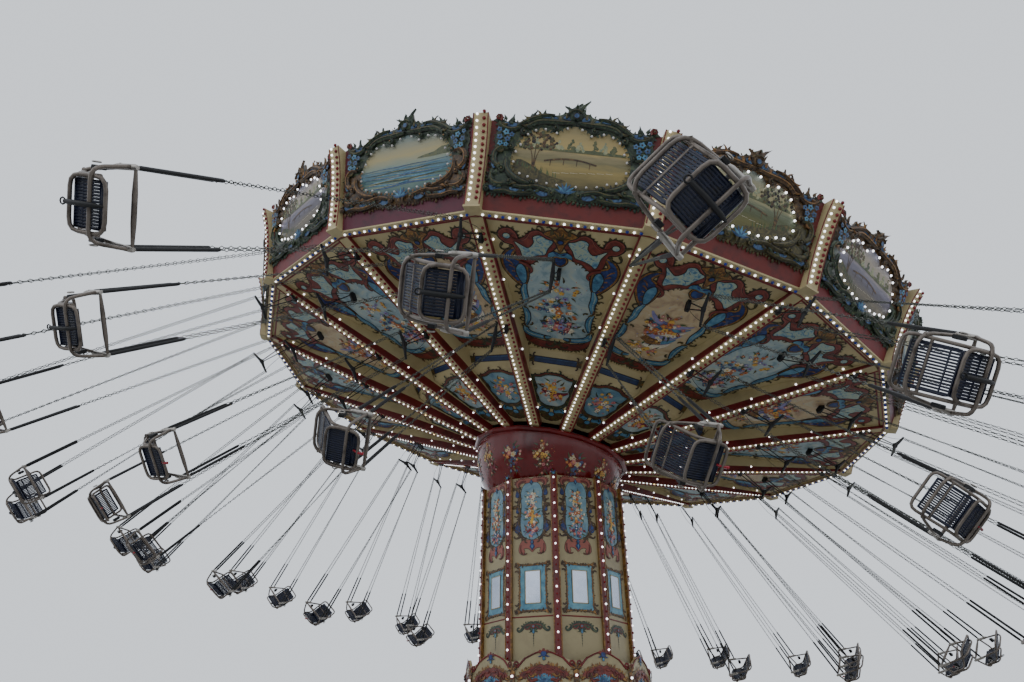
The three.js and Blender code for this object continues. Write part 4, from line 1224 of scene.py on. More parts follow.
def board_design(ground, scene, seed, lower, upper, glass):
    """A rounding board: its ground, its picture, the carved frame, the crest and the lamps."""
    design = Piece()
    low = RIM_RADIUS * math.sin(math.pi / BAYS)
    high = (RIM_RADIUS + BOARD_LEAN) * math.sin(math.pi / BAYS)
    patch(design, [(-low, 0), (low, 0), (high, BOARD_RISE), (-high, BOARD_RISE)], ground, 0.0)
    ring = mirrored_outline(spline(PICTURE_EDGE, 3)[::-1])
    marks = (ring - [0, PICTURE_MIDDLE]) / PICTURE_SIZE + 0.5
    patch(design, ring, scene, 0.010, marks)
    if seed:
        riverside(design, seed)
    else:
        open_water(design)
    both(design, carved_frame(lower, upper))
    for k in range(7):
        leaf(design, (0, 0.34), 90 + (k - 3) * 25, 0.15, 0.055, "light_blue" if k % 2 else "mid_blue",
             0.075, 0.015, 0)
    for heading, length, bend in ((84, 0.34, -50), (60, 0.22, 60), (120, 0.24, -60), (100, 0.26, 70),
                                  (36, 0.22, 40), (144, 0.22, -40), (74, 0.18, 90)):
        leaf(design, (-0.01, 1.42), heading, length, 0.11, upper, 0.050, 0.04, bend)
    # The crest's scroll gets an olive line along its top as a painted highlight
    carved_scroll(design, [(-0.13, 1.47), (-0.06, 1.53), (0.02, 1.54), (0.08, 1.50)], [0.03, 0.05, 0.03],
                  upper, "olive", 0.075)
    inked(design, round_patch((0, 1.46), 0.034, 10), 0.012, "mid_blue", 0.098)
    for u, v in ((0.78, 0.55), (0.66, 0.56), (0.77, 0.72), (0.76, 0.87), (0.71, 0.98), (0.63, 1.14),
                 (0.53, 1.21), (0.40, 1.24), (0.24, 1.20), (0.10, 1.28), (0.54, 0.53), (0.41, 0.48),
                 (0.27, 0.46), (0.13, 0.45)):
        for sign in (-1, 1):
            bulb(design, (sign * u, v), glass, 0.020, 0.045)
    for sign in (-1, 1):
        edge = [(sign * (low - 0.125), 0.02), (sign * (high - 0.125), BOARD_RISE)]
        ribbon(design, edge, 0.014, "line_red", 0.003, 0.004)
    return design


def rounding_boards():
    """The boards round the rim in four designs, with their backs and carved crests."""
    # The lamps on the boards are alike: two designs get glowing white ones and two the dim grey ones, as
    # painted light and painted shade
    designs = [board_design("terracotta", "evening", 11, "green", "green", "bulb_clear"),
               board_design("terracotta", "meadow", 12, "olive", "bronze", "bulb_white"),
               board_design("rose", "valley", 13, "green", "bronze", "bulb_white"),
               board_design("mauve", "lagoon", 0, "bronze", "green", "bulb_clear")]
    frames = [board_frame(i) for i in range(BAYS)]
    piece = Piece()
    for i, matrix in enumerate(frames):
        piece.stamp(designs[(i + 1) % 4], matrix)
    back = Piece()
    inner = board_radius(BOARD_TOP) - BOARD_THICKNESS
    turned(back, [(board_radius(BOARD_TOP), BOARD_TOP), (inner, BOARD_TOP),
                  (RIM_RADIUS - BOARD_THICKNESS, RIM_HEIGHT), (RIM_RADIUS, RIM_HEIGHT)],
           "cream_shade", BAYS, CANOPY_PHASE, False)
    piece.stamp(back, CANOPY)
    crest = Piece()
    top = CREST_HEIGHT - 0.02
    right = [(0.0, -0.03), (1.06, -0.03), (1.12, 0.03), (1.08, 0.08), (1.02, 0.03), (0.95, 0.0),
             (0.90, 0.07), (0.84, 0.01), (0.74, 0.02), (0.67, 0.06), (0.63, 0.16), (0.58, 0.10),
             (0.48, 0.13), (0.34, 0.155), (0.22, 0.17), (0.18, 0.22), (0.12, 0.22), (0.08, 0.29)]
    left = [(-u, v) for u, v in right[:0:-1]]
    outline = spline([*right, (0.05, top), (-0.02, 0.33), *left], 2, True)
    patch(crest, outline, "green", 0.012)
    back_side = Piece()
    back_side.stamp(crest, np.diag([1.0, 1.0, -1.0, 1.0]))
    crest.stamp(back_side, shift(h=-0.010), swap={"green": "bronze"})
    edge = np.c_[np.repeat(outline, 2, axis=0), np.tile([0.012, -0.022], len(outline))]
    k = np.arange(len(outline)) * 2
    after = (k + 2) % (2 * len(outline))
    crest.add(edge, np.c_[k, k + 1, after + 1, after], "bronze", False)
    for matrix in frames:
        piece.stamp(crest, matrix @ shift(v=BOARD_RISE, h=-0.004))
    piece.make("rounding_boards_carved", "canopy", "board_ground", ["rounding_boards"])


def roof_seams():
    """Raised seams on the roof deck, and the braces behind the rounding boards."""
    one = Piece()
    eave = board_radius(EAVE_HEIGHT) - BOARD_THICKNESS
    fall = (DECK_TOP - EAVE_HEIGHT) / (eave - DECK_EYE)
    seam = [(DECK_EYE + 0.16, 0, DECK_TOP - 0.16 * fall + 0.01), (eave - 0.03, 0, EAVE_HEIGHT + 0.01)]
    tube(one, seam, 0.035, "roof", 6)
    inside = board_radius(BOARD_TOP) - BOARD_THICKNESS - 0.02
    prop = BOARD_TOP - 0.16
    tube(one, [(eave - 1.0, 0, EAVE_HEIGHT + 0.16), (inside - 0.06, 0, prop)], 0.026, "frame_grey", 6)
    block(one, (inside - 0.05, 0, prop), (0.05, 0.16, 0.12), "frame_grey", 0.02)
    block(one, (eave - 1.0, 0, EAVE_HEIGHT + 0.15), (0.16, 0.12, 0.08), "frame_grey", 0.02)
    piece = Piece()
    round_canopy(one, piece)
    bay = Piece()
    low, high = BOARD_RISE * 0.31, BOARD_RISE - 0.10
    for u in (-0.62, 0.0, 0.62):
        block(bay, (u, (low + high) / 2, -0.065), (0.07, high - low, 0.045), "cream_shade")
    block(bay, (0, high + 0.03, -0.065), (2.28, 0.07, 0.05), "cream_shade")
    flat = Piece()
    for u in (-0.28, 0.28):
        end = board_radius(EAVE_HEIGHT) - 0.10
        tube(flat, [(u * 0.5, 0.9, 0.008), (u * 2.2, end * BAY_APOTHEM, 0.008)], 0.016, "roof", 5)
    for i in range(BAYS):
        piece.stamp(bay, board_frame(i))
        out = polar(1, rib_angle(i + 0.5))
        across = np.cross(UP, out)
        along = unit(out * BAY_APOTHEM - UP * fall)
        start = UP * (DECK_TOP + DECK_EYE * fall)
        piece.stamp(flat, CANOPY @ place(start, across, along, np.cross(along, across)))
    piece.make("roof_seams", "canopy", "roof_sheet")


def corner_pillars():
    """Cream pillars between the boards that flare out at the top, with two rows of lamps."""
    profile = spline([(0.0, 0.10), (0.10, 0.085), (0.35, 0.065), (0.62, 0.07), (0.82, 0.095), (0.93, 0.125),
                      (0.99, 0.14)], 3)
    one = Piece()
    half = PILLAR_WIDTH / 2
    heights = RIM_HEIGHT + BOARD_HEIGHT * profile[:, 0]
    front = np.c_[board_radius(heights) + profile[:, 1], heights]
    back = np.c_[board_radius(heights) - 0.02, heights]
    n = len(front)
    side = strip(n, 0, n, False)
    for y, order in ((half, 1), (-half, -1)):
        rows = [np.c_[line[:, 0], np.full(n, y), line[:, 1]] for line in (front, back)]
        one.add(np.concatenate(rows), side[:, ::-order], "cream", False)
    rows = [np.c_[front[:, 0], np.full(n, y), front[:, 1]] for y in (-half, half)]
    one.add(np.concatenate(rows), side[:, ::-1], "cream")
    (near, level), (far, _) = front[-1], back[-1]
    one.add([(near, -half, level), (near, half, level), (far, half, level), (far, -half, level)],
            [(0, 1, 2, 3)], "cream", False)
    depth = profile[0, 1] + 0.02
    block(one, (RIM_RADIUS - 0.02 + depth / 2, 0, RIM_HEIGHT - 0.015), (depth, PILLAR_WIDTH + 0.02, 0.045),
          "cream", 0.01)
    for y in (-half + 0.006, half - 0.006):
        tube(one, np.c_[front[:, 0] + 0.002, np.full(n, y), front[:, 1]], 0.009, "line_red", 5)
    for share in np.linspace(0.05, 0.98, 15):
        r, z = [np.interp(share, profile[:, 0], front[:, c]) for c in (0, 1)]
        ahead = [np.interp(share + 0.02, profile[:, 0], front[:, c]) for c in (0, 1)]
        rise = unit((ahead[0] - r, 0, ahead[1] - z))
        lamps = Piece()
        bulb(lamps, (-ROW_OFFSET, 0), "bulb_white", 0.019)
        bulb(lamps, (ROW_OFFSET, 0.03), "bulb_red", 0.028)
        one.stamp(lamps, place((r, 0, z), (0, 1, 0), rise, np.cross((0, 1, 0), rise)))
    piece = Piece()
    round_canopy(one, piece)
    piece.make("corner_pillars_lit", "canopy", "board_cream", ["corner_pillars"])


# The sphere, the tower and the base


def onto_sphere(angle):
    """What bends a flat design onto the sphere's flower band, round a place at this angle."""
    def bend(points):
        """The design's points, laid on the sphere."""
        turn = angle + points[:, 0] / SPHERE_RADIUS / math.cos(FLOWER_RISE)
        lift = FLOWER_RISE + points[:, 1] / SPHERE_RADIUS
        radius = SPHERE_RADIUS + points[:, 2]
        return np.c_[radius * np.cos(lift) * np.cos(turn), radius * np.cos(lift) * np.sin(turn),
                     radius * np.sin(lift)]
    return bend


def sphere():
    """The lacquered sphere under the hub, its gilt lip and its painted flowers."""
    piece = Piece()
    low = -math.asin(SPHERE_DEPTH / SPHERE_RADIUS)
    inside = SPHERE_RADIUS - 0.03
    arc = [(SPHERE_RADIUS * math.cos(a), SPHERE_RADIUS * math.sin(a)) for a in np.linspace(low, 0, 22)]
    inner = [(inside * math.cos(a), inside * math.sin(a)) for a in np.linspace(0, low, 6)]
    skin = Piece()
    r, z = arc[0]
    lip = [(r - 0.03, z - 0.012), (r + 0.012, z - 0.012), (r + 0.018, z + 0.02)]
    for profile, paint in ((inner + arc, "sphere_red"), (lip, "gold")):
        turned(skin, profile, paint, 96, CANOPY_PHASE)
    piece.stamp(skin, CANOPY)
    flowers = []
    for seed, tall, paints in ((51, True, ("yellow", "orange", "gold", "blush")),
                               (52, False, ("orange", "blush", "pink", "mid_blue"))):
        posy = Piece()
        sprigs(posy, (-0.20, -0.34), (0.20, 0.32), 26, ("bronze", "leaf", "orange"), seed, 0.003, 0.010)
        if tall:
            bouquet(posy, (-0.04, 0.10), 0.30, 0.44, paints, 20, 0.046, seed, 0.004, 8)
            bouquet(posy, (0.05, -0.15), 0.30, 0.32, ("wine", "bronze", "pink"), 14, 0.044, seed + 8,
                    0.005, 6)
        else:
            bouquet(posy, (0.0, 0.03), 0.42, 0.36, paints, 20, 0.048, seed, 0.004, 8)
            bouquet(posy, (0.02, -0.20), 0.28, 0.20, ("mid_blue", "bronze", "wine"), 11, 0.040, seed + 8,
                    0.005, 6)
        flowers.append(posy)
    count = 14
    for k in range(count):
        piece.stamp(flowers[k % 2], CANOPY, onto_sphere(CANOPY_PHASE + k * 2 * math.pi / count))
    piece.make("sphere_lacquered", "canopy", "sphere_enamel", ["centre_sphere"])


def collar():
    """The scalloped collar that hides where the sphere meets the ribs."""
    sides = 192
    angle = CANOPY_PHASE + np.arange(sides) * 2 * math.pi / sides
    scallop = COLLAR_RADIUS - COLLAR_SCALLOP * np.abs(np.cos(BAYS / 2 * (angle - CANOPY_PHASE))) ** 0.6
    top = rib_bottom(HUB_RADIUS) - RIB_FIT
    profile = ((SPHERE_RADIUS + 0.006, 0.085), (scallop - 0.03, 0.075), (scallop, 0.04),
               (scallop - 0.004, 0.012), (scallop - 0.03, 0.002), (SPHERE_RADIUS, 0.002))
    rows = [np.c_[radius * np.cos(angle), radius * np.sin(angle), np.full(sides, top - drop)]
            for radius, drop in profile]
    ring = Piece()
    for k in range(len(rows) - 1):
        ring.add(np.concatenate(rows[k:k + 2]), strip(sides, 0, sides), "sphere_red")
    piece = Piece()
    piece.stamp(ring, CANOPY)
    piece.make("sphere_collar_scalloped", "canopy", "collar_red", ["sphere_collar"])


def face_frame(index, radius=TOWER_RADIUS, phase=TOWER_PHASE):
    """The frame of a face of the tower or the drum, with heights from the ground."""
    angle = phase + (index + 0.5) * 2 * math.pi / FACES
    return panel_frame(angle, FACE_APOTHEM, (radius, 0), (radius, 1))


def drop(piece, at, size, paint, h=0.012):
    """A painted drop with a pointed top, outlined."""
    outline = spline([(at[0], at[1] + size), (at[0] + 0.42 * size, at[1] - 0.2 * size),
                      (at[0], at[1] - 0.6 * size), (at[0] - 0.42 * size, at[1] - 0.2 * size)], 3, True)
    inked(piece, outline, 0.005, paint, h)


def flower_panel_border():
    """Half of the scrolled border round a tower face's arched flower panel."""
    half = Piece()
    crest = spline([(0.0, 5.985), (0.07, 6.015), (0.15, 5.99), (0.21, 6.005), (0.275, 5.96), (0.285, 5.89),
                    (0.245, 5.85), (0.215, 5.90), (0.16, 5.935), (0.09, 5.925), (0.0, 5.945)], 3, True)
    inked(half, crest, 0.007, "rose_light", 0.005)
    fringe(half, crest[2:16], 0.045, 0.035, "red_brown", 0.009, 1, 60, 61)
    edged(half, curl((0.10, 5.955), 10, 0.20, -40, -330, 8), [0.02, 0.026, 0.012], "red_brown", h=0.010,
          rim=0.005)
    side = spline([(0.205, 5.87), (0.235, 5.78), (0.215, 5.66), (0.245, 5.52), (0.215, 5.38), (0.245, 5.22),
                   (0.235, 5.05), (0.185, 4.96), (0.11, 4.91)], 4)
    edged(half, side, 0.026, "bronze", h=0.008, crown=0.006, rim=0.008)
    fringe(half, side, 0.072, 0.052, "bronze", 0.006, 1, 55, 62)
    fringe(half, side, 0.050, 0.065, "olive", 0.007, -1, 55, 63)
    for at, heading, length, spin in (((0.235, 5.80), 40, 0.13, -1), ((0.225, 5.64), -60, 0.12, 1),
                                      ((0.245, 5.50), 30, 0.12, -1), ((0.225, 5.36), -50, 0.12, 1),
                                      ((0.245, 5.20), 20, 0.12, -1), ((0.21, 4.98), -40, 0.15, 1),
                                      ((0.13, 4.93), -80, 0.10, -1)):
        tendril(half, at, heading, length, spin, "bronze", 0.010, 0.020)
    for v, heading, length, spin in ((5.74, 60, 0.26, -1), (5.58, -60, 0.22, 1), (5.40, 60, 0.24, -1),
                                     (5.24, -60, 0.22, 1), (5.02, 50, 0.28, -1)):
        edged(half, curl((0.222, v), heading, length, 30 * spin, 330 * spin, 9), [0.022, 0.030, 0.012],
              "bronze", h=0.009, crown=0.006, rim=0.006)
    for at, size in (((0.262, 5.72), 0.085), ((0.262, 5.42), 0.06), ((0.262, 5.10), 0.115)):
        drop(half, at, size, "blue")
    base = spline([(0.0, 4.895), (0.08, 4.90), (0.165, 4.90), (0.215, 4.85), (0.24, 4.775), (0.235, 4.705),
                   (0.19, 4.665), (0.145, 4.68), (0.135, 4.72), (0.155, 4.75), (0.11, 4.765), (0.05, 4.745),
                   (0.0, 4.69)], 3)
    inked(half, np.vstack([base, [[-0.004, 4.8]]]), 0.007, "rose_light", 0.005)
    edged(half, curl((0.205, 4.83), -80, 0.26, -40, -420, 10), [0.012, 0.016, 0.008], "red_brown",
          h=0.010, rim=0.004)
    tendril(half, (0.20, 4.70), -120, 0.10, -1, "bronze", 0.009, 0.016)
    return half


def mirror_border():
    """Half of the frame round a tower face's mirror, with leafy flourishes at its corners."""
    half = Piece()
    edge = spline([(0.0, 4.475), (0.12, 4.478), (0.20, 4.49), (0.245, 4.47), (0.228, 4.38), (0.236, 4.25),
                   (0.228, 4.11), (0.236, 3.97), (0.228, 3.84), (0.245, 3.75), (0.20, 3.73),
                   (0.12, 3.742), (0.0, 3.745)], 3)
    patch(half, np.vstack([edge, [[-0.004, 4.1]]]), "panel_blue", 0.003)
    edged(half, edge, 0.017, "gold", h=0.006, crown=0.005, rim=0.005)
    fringe(half, edge, 0.040, 0.05, "bronze", 0.006, 1, 60, 64)
    fringe(half, edge, 0.028, 0.065, "gold", 0.008, -1, 60, 65)
    for v, flip in ((4.47, 1), (3.75, -1)):
        for u, up, heading, length, spin in ((0.20, 0.01, 30, 0.15, -1), (0.24, -0.03, 20, 0.13, 1),
                                             (0.10, 0.005, 20, 0.11, -1), (0.235, -0.12, 60, 0.1, -1)):
            tendril(half, (u, v + up * flip), heading * flip, length, spin * flip, "bronze", 0.010, 0.022)
        leaf(half, (0.22, v), 45 * flip, 0.085, 0.045, "gold", 0.014, 0.006, 20 * flip)
        leaf(half, (0.01, v), 20 * flip, 0.09, 0.03, "bronze", 0.010, 0.004, 20 * flip)
    return half


def tower_face(warm):
    """The ornaments of a tower face, by height above the ground."""
    design = Piece()
    arch = mirrored_outline(spline([(0.0, 5.945), (0.09, 5.925), (0.165, 5.85), (0.20, 5.70), (0.185, 5.5),
                                    (0.205, 5.3), (0.20, 5.10), (0.15, 4.97), (0.0, 4.90)], 4))
    inked(design, arch, 0.010, "panel_sky", 0.002)
    half = flower_panel_border()
    half.stamp(mirror_border(), np.eye(4))
    body = spline([(0.0, 3.565), (0.05, 3.575), (0.10, 3.55), (0.145, 3.515), (0.13, 3.475), (0.08, 3.465),
                   (0.04, 3.44), (0.0, 3.425)], 3)
    inked(half, np.vstack([body, [[-0.004, 3.5]]]), 0.006, "green", 0.005)
    wing_path = spline([(0.08, 3.53), (0.15, 3.51), (0.20, 3.455), (0.245, 3.43), (0.275, 3.455),
                        (0.262, 3.485), (0.238, 3.478)], 3)
    edged(half, wing_path, [0.040, 0.040, 0.028, 0.018, 0.010], "green", h=0.006, rim=0.005)
    ribbon(half, curl((0.02, 3.53), 8, 0.16, -50, -60, 4), [0.010, 0.018, 0.004], "red_brown", 0.010)
    edged(half, curl((0.05, 3.50), -60, 0.12, 60, 300, 6), [0.018, 0.012], "red_brown", h=0.008, rim=0.004)
    fringe(half, spline([(0.03, 3.55), (0.12, 3.55), (0.2, 3.49)], 3), 0.04, 0.036, "green", 0.007, 1, 60,
           66)
    leaf(half, (0.01, 3.45), -50, 0.08, 0.035, "green", 0.008, 0.004, 40)
    both(design, half)
    for v, size in ((5.93, 0.05), (4.86, 0.05), (4.79, 0.07)):
        diamond = [(0, v + size), (-0.6 * size, v), (0, v - size), (0.6 * size, v)]
        nested(design, diamond, [(0.006, "ink"), (0, "blue"), (-0.4 * size, "light_blue")], 0.014)
    sprigs(design, (-0.13, 5.02), (0.13, 5.76), 40, ("white", "leaf", "pink", "yellow"), 67 + warm, 0.004,
           0.009)
    for k in range(9):
        leaf(design, (0, 5.16 + 0.065 * k), 90 + (34 if k % 2 else -34), 0.12, 0.018, "leaf", 0.006, 0, 20)
    top = ("yellow", "white", "orange") if warm else ("yellow", "white", "pink")
    bouquet(design, (0, 5.64), 0.22, 0.34, top, 19, 0.034, 68 + warm, 0.008, 6)
    bouquet(design, (0, 5.34), 0.29, 0.36, ("yellow", "white", "orange", "pink"), 22, 0.040, 70 + warm,
            0.009, 8)
    bouquet(design, (0, 5.07), 0.29, 0.24, ("lilac", "pink", "mid_blue", "wine"), 18, 0.039, 72 + warm,
            0.011, 7)
    glass = [(-0.13, 3.86), (0.13, 3.86), (0.13, 4.38), (-0.13, 4.38)]
    patch(design, glass, "mirror", 0.008)
    ribbon(design, rounded(glass, 0.006, 1), 0.014, "cream", 0.009, 0.006, True)
    ribbon(design, rounded(grown(glass, 0.012), 0.006, 1), 0.006, "ink", 0.006, 0, True)
    ribbon(design, [(-0.40, 3.65), (0.40, 3.65)], 0.022, "line_red", 0.003, 0.008)
    nested(design, round_patch((0, 3.50), 0.034, 8),
           [(0.006, "ink"), (0, "red_brown"), (-0.018, "light_blue")], 0.012)
    drop(design, (0, 3.42), 0.045, "light_blue", 0.010)
    for k in range(4):
        dot(design, (0, 3.36 - 0.04 * k), 0.013 - 0.002 * k, "green", 0.006, 5)
    ribbon(design, [(0, 3.40), (0, 3.19)], [0.010, 0.004], "green", 0.003)
    return design


def tower_pillar():
    """A lit strip at a tower corner: dark red between gold edges, lamps in two colours, a small crest."""
    one = Piece()
    low, top = TOWER_BOTTOM - 0.03, TOWER_TOP + 0.024
    depth = 0.055
    outer = TOWER_RADIUS + depth
    slant = math.pi / FACES
    for sign in (-1, 1):
        along = np.array([-math.sin(slant), math.cos(slant) * sign, 0])
        normal = np.array([math.cos(slant), math.sin(slant) * sign, 0])
        for a, b, paint, lift in ((0.0, 0.052, "dark_red", 0.0), (0.052, 0.070, "gold", 0.007)):
            p = np.array([outer, 0, 0]) + along * a + normal * lift
            q = np.array([outer, 0, 0]) + along * b + normal * lift
            walls = [(p, q)]
            if lift:
                walls += [(p - normal * lift, p), (q, q - normal * (depth + lift))]
            for r, s in walls:
                points = [(*r[:2], low), (*s[:2], low), (*s[:2], top), (*r[:2], top)]
                one.add(points, [(0, 1, 2, 3)[::sign]], paint, False)
    lamps = Piece()
    for k in range(int((top - low - 0.12) / TOWER_LAMP_PITCH) + 1):
        bulb(lamps, (0, top - 0.09 - TOWER_LAMP_PITCH * k), "bulb_red" if k % 2 else "bulb_white", 0.019)
    for k in range(5):
        leaf(lamps, (0, top - 0.03), 90 + (k - 2) * 34, 0.085, 0.04, "blue" if k % 2 else "bronze", 0.012)
    dot(lamps, (0, top - 0.02), 0.024, "light_blue", 0.03, 6)
    one.stamp(lamps, place((outer, 0, 0), (0, 1, 0), (0, 0, 1), (1, 0, 0)))
    return one


def tower():
    """Pillars with lamps, and the painted ornaments of every face."""
    one = tower_pillar()
    piece = Piece()
    for i in range(FACES):
        out = polar(1, TOWER_PHASE + i * 2 * math.pi / FACES)
        piece.stamp(one, place((0, 0, 0), out, np.cross(UP, out), UP))
    turned(piece, [(TOWER_RADIUS - 0.03, TOWER_BOTTOM - 0.06), (TOWER_RADIUS + 0.04, TOWER_BOTTOM - 0.06),
                   (TOWER_RADIUS + 0.04, TOWER_BOTTOM), (TOWER_RADIUS - 0.01, TOWER_BOTTOM)], "dark_red",
           FACES, TOWER_PHASE, False)
    piece.make("tower_pillars_lit", "tower", "tower_trim", ["tower_pillars"])
    designs = [tower_face(False), tower_face(True)]
    piece = Piece()
    for i in range(FACES):
        piece.stamp(designs[i % 2], face_frame(i))
    piece.make("tower_ornament", "tower", "painted_panel")


def scallop_height(t):
    """Height of the skirt's edge at a share from -1 to 1 of a face's half width."""
    return DRUM_VALLEY + (DRUM_CREST - DRUM_VALLEY) * 0.5 * (1 + np.cos(np.pi * t))


def skirt_band():
    """Half of the red rococo band under the skirt's edge, with its light blue middle."""
    half = Piece()
    crest = spline([(0.0, 2.925), (0.06, 2.95), (0.12, 2.925), (0.20, 2.915), (0.27, 2.865), (0.34, 2.85),
                    (0.385, 2.79), (0.36, 2.74), (0.30, 2.775), (0.22, 2.80), (0.13, 2.815), (0.0, 2.83)],
                   3, True)
    inked(half, crest, 0.008, "red_brown", 0.004)
    fringe(half, crest[2:22], 0.06, 0.042, "gold", 0.008, 1, 60, 81)
    fringe(half, crest[26:34], 0.05, 0.05, "red_brown", 0.008, 1, 60, 82)
    for at, heading, length, spin, paint in (((0.04, 2.89), 10, 0.20, -1, "red_brown"),
                                             ((0.20, 2.87), -10, 0.20, -1, "red_brown"),
                                             ((0.34, 2.77), -30, 0.13, 1, "gold"),
                                             ((0.12, 2.82), -40, 0.16, 1, "gold"),
                                             ((0.10, 2.74), -20, 0.22, 1, "red_brown")):
        tendril(half, at, heading, length, spin, paint, 0.012, 0.022, 0.006)
    patch(half, spline([(0.0, 2.82), (0.12, 2.80), (0.20, 2.77), (0.14, 2.70), (0.0, 2.66)], 3),
          "light_blue", 0.006)
    edged(half, curl((0.01, 2.66), -8, 0.30, 46, 330, 10), [0.03, 0.045, 0.03, 0.012], "red_brown",
          h=0.008, crown=0.008)
    fringe(half, curl((0.01, 2.65), -8, 0.30, 46, 200, 8), 0.05, 0.045, "gold", 0.006, -1, 60, 83)
    for k in range(3):
        leaf(half, (0.01, 2.70), 78 - 30 * k, 0.10, 0.03, "mid_blue", 0.010, 0.004, 20)
    return half


def skirt_face():
    """A face of the base drum: cream, with a scalloped top edge, a rococo band and a framed posy."""
    width = DRUM_RADIUS * math.sin(math.pi / FACES)
    design = Piece()
    count = 33
    t = np.linspace(-1, 1, count)
    edge = np.c_[t * width, scallop_height(t)]
    # The drum's face takes the darker cream, painted shade
    patch(design, np.vstack([[(-width, DRUM_BOTTOM), (width, DRUM_BOTTOM)], edge[::-1]]), "tower_cream",
          0.0)
    inside = np.c_[edge * [1 - DRUM_WALL / DRUM_RADIUS, 1], np.full(count, -DRUM_WALL)]
    under = np.c_[inside[:, 0], np.full(count, DRUM_VALLEY - 0.02), inside[:, 2]]
    front = np.c_[edge, np.zeros(count)]
    design.add(np.vstack([front, inside]), strip(count, 0, count, False), "cream")
    design.add(np.vstack([inside, under]), strip(count, 0, count, False), "cream_shade")
    line = edge[6:-6] - [0, 0.010]
    tube(design, np.c_[line, np.full(len(line), 0.006)], 0.013, "line_red", 6)
    half = Piece()
    turn = np.radians(-110 + np.linspace(0, 480, 14))
    reach = np.linspace(0.048, 0.010, 14)
    scroll = np.c_[0.430 + reach * np.cos(turn), 2.915 + reach * np.sin(turn)]
    edged(half, [(0.29, 3.0), (0.345, 2.945), *scroll], [0.026, 0.024, 0.020, 0.012], "line_red", h=0.006,
          crown=0.010, rim=0.003)
    half.stamp(skirt_band(), shift(v=-0.05))
    frame_line = rounded([(0.0, 0.62), (0.36, 0.62), (0.36, 2.42), (0.0, 2.42)], 0.10, 4, False)
    edged(half, frame_line, 0.020, "line_red", "gold", 0.004, 0.008, 0.006)
    for v, flip in ((2.30, 1), (0.74, -1)):
        for u, heading, length, spin in ((0.34, 100, 0.26, 1), (0.34, 190, 0.24, -1), (0.30, 145, 0.16, 1)):
            tendril(half, (u, v), heading * flip, length, spin * flip, "gold", 0.008, 0.03, 0.008)
    for v, flip in ((1.88, 1), (1.12, -1)):
        edged(half, curl((0.0, v), 30 * flip, 0.44, -60 * flip, -330 * flip, 12), [0.05, 0.06, 0.02],
              "light_blue", h=0.006, crown=0.010, rim=0.007)
        fringe(half, curl((0.0, v), 30 * flip, 0.30, -60 * flip, -120 * flip, 6), 0.06, 0.05, "olive",
               0.004, flip, 60, 84)
    both(design, half)
    sprigs(design, (-0.24, 0.9), (0.24, 2.1), 50, ("pink", "leaf", "lilac", "yellow"), 85, 0.003, 0.012)
    bouquet(design, (0, 1.5), 0.36, 0.5, ("pink", "yellow", "white", "lilac"), 20, 0.05, 86, 0.008, 9)
    inked(design, round_patch((0, 3.055), 0.042, 8), 0.008, "blue", 0.016)
    drop(design, (0, 2.99), 0.05, "light_blue", 0.014)
    for sign in (-1, 1):
        dot(design, (0.055 * sign, 3.085), 0.030, "red_brown", 0.014, 6)
        leaf(design, (0.03 * sign, 3.03), 90 - 120 * sign, 0.07, 0.026, "blue", 0.012, 0.004, 30 * sign)
    dot(design, (0, 3.11), 0.026, "red_brown", 0.018, 6)
    bloom(design, (0, 2.74), 0.045, "light_blue", "gold", 0.016, 6)
    return design


def corner_pilaster():
    """A gold ornament with lamps at a corner of the base drum."""
    one = Piece()
    for k in range(7):
        leaf(one, (0, 2.83), 90 + (k - 3) * 30, 0.10, 0.04, "gold" if k % 2 else "bronze", 0.012, 0.012)
    edged(one, [(0, 2.84), (0, 2.2), (0, 1.4), (0, 0.50)], [0.08, 0.05, 0.05, 0.09], "gold", "bronze",
          0.004, 0.012, 0.010)
    for v in (2.74, 2.36, 1.94, 1.52, 1.10, 0.68):
        nested(one, round_patch((0, v), 0.036, 8), [(0.010, "bronze"), (0, "line_red")], 0.014)
        bulb(one, (0, v), "bulb_white", 0.022, 0.018)
        for sign in (-1, 1):
            leaf(one, (0, v - 0.05), 90 - sign * 150, 0.13, 0.045, "bronze", 0.016, 0.010, sign * 40)
    return one


def base():
    """The painted skin of the base drum, face by face, with its corner ornaments."""
    piece = Piece()
    face, pilaster = skirt_face(), corner_pilaster()
    for i in range(FACES):
        piece.stamp(face, face_frame(i, DRUM_RADIUS, BASE_PHASE))
        out = polar(1, BASE_PHASE + i * 2 * math.pi / FACES)
        piece.stamp(pilaster, place(out * DRUM_RADIUS, np.cross(UP, out), UP, out))
    inner = DRUM_RADIUS - DRUM_WALL
    turned(piece, [(inner, DRUM_VALLEY), (inner, DRUM_BOTTOM)], "cream_shade", FACES, BASE_PHASE, False)
    piece.make("base_drum_painted", "base", "cream_paint", ["base_drum"])


# Chains, hangers and chairs


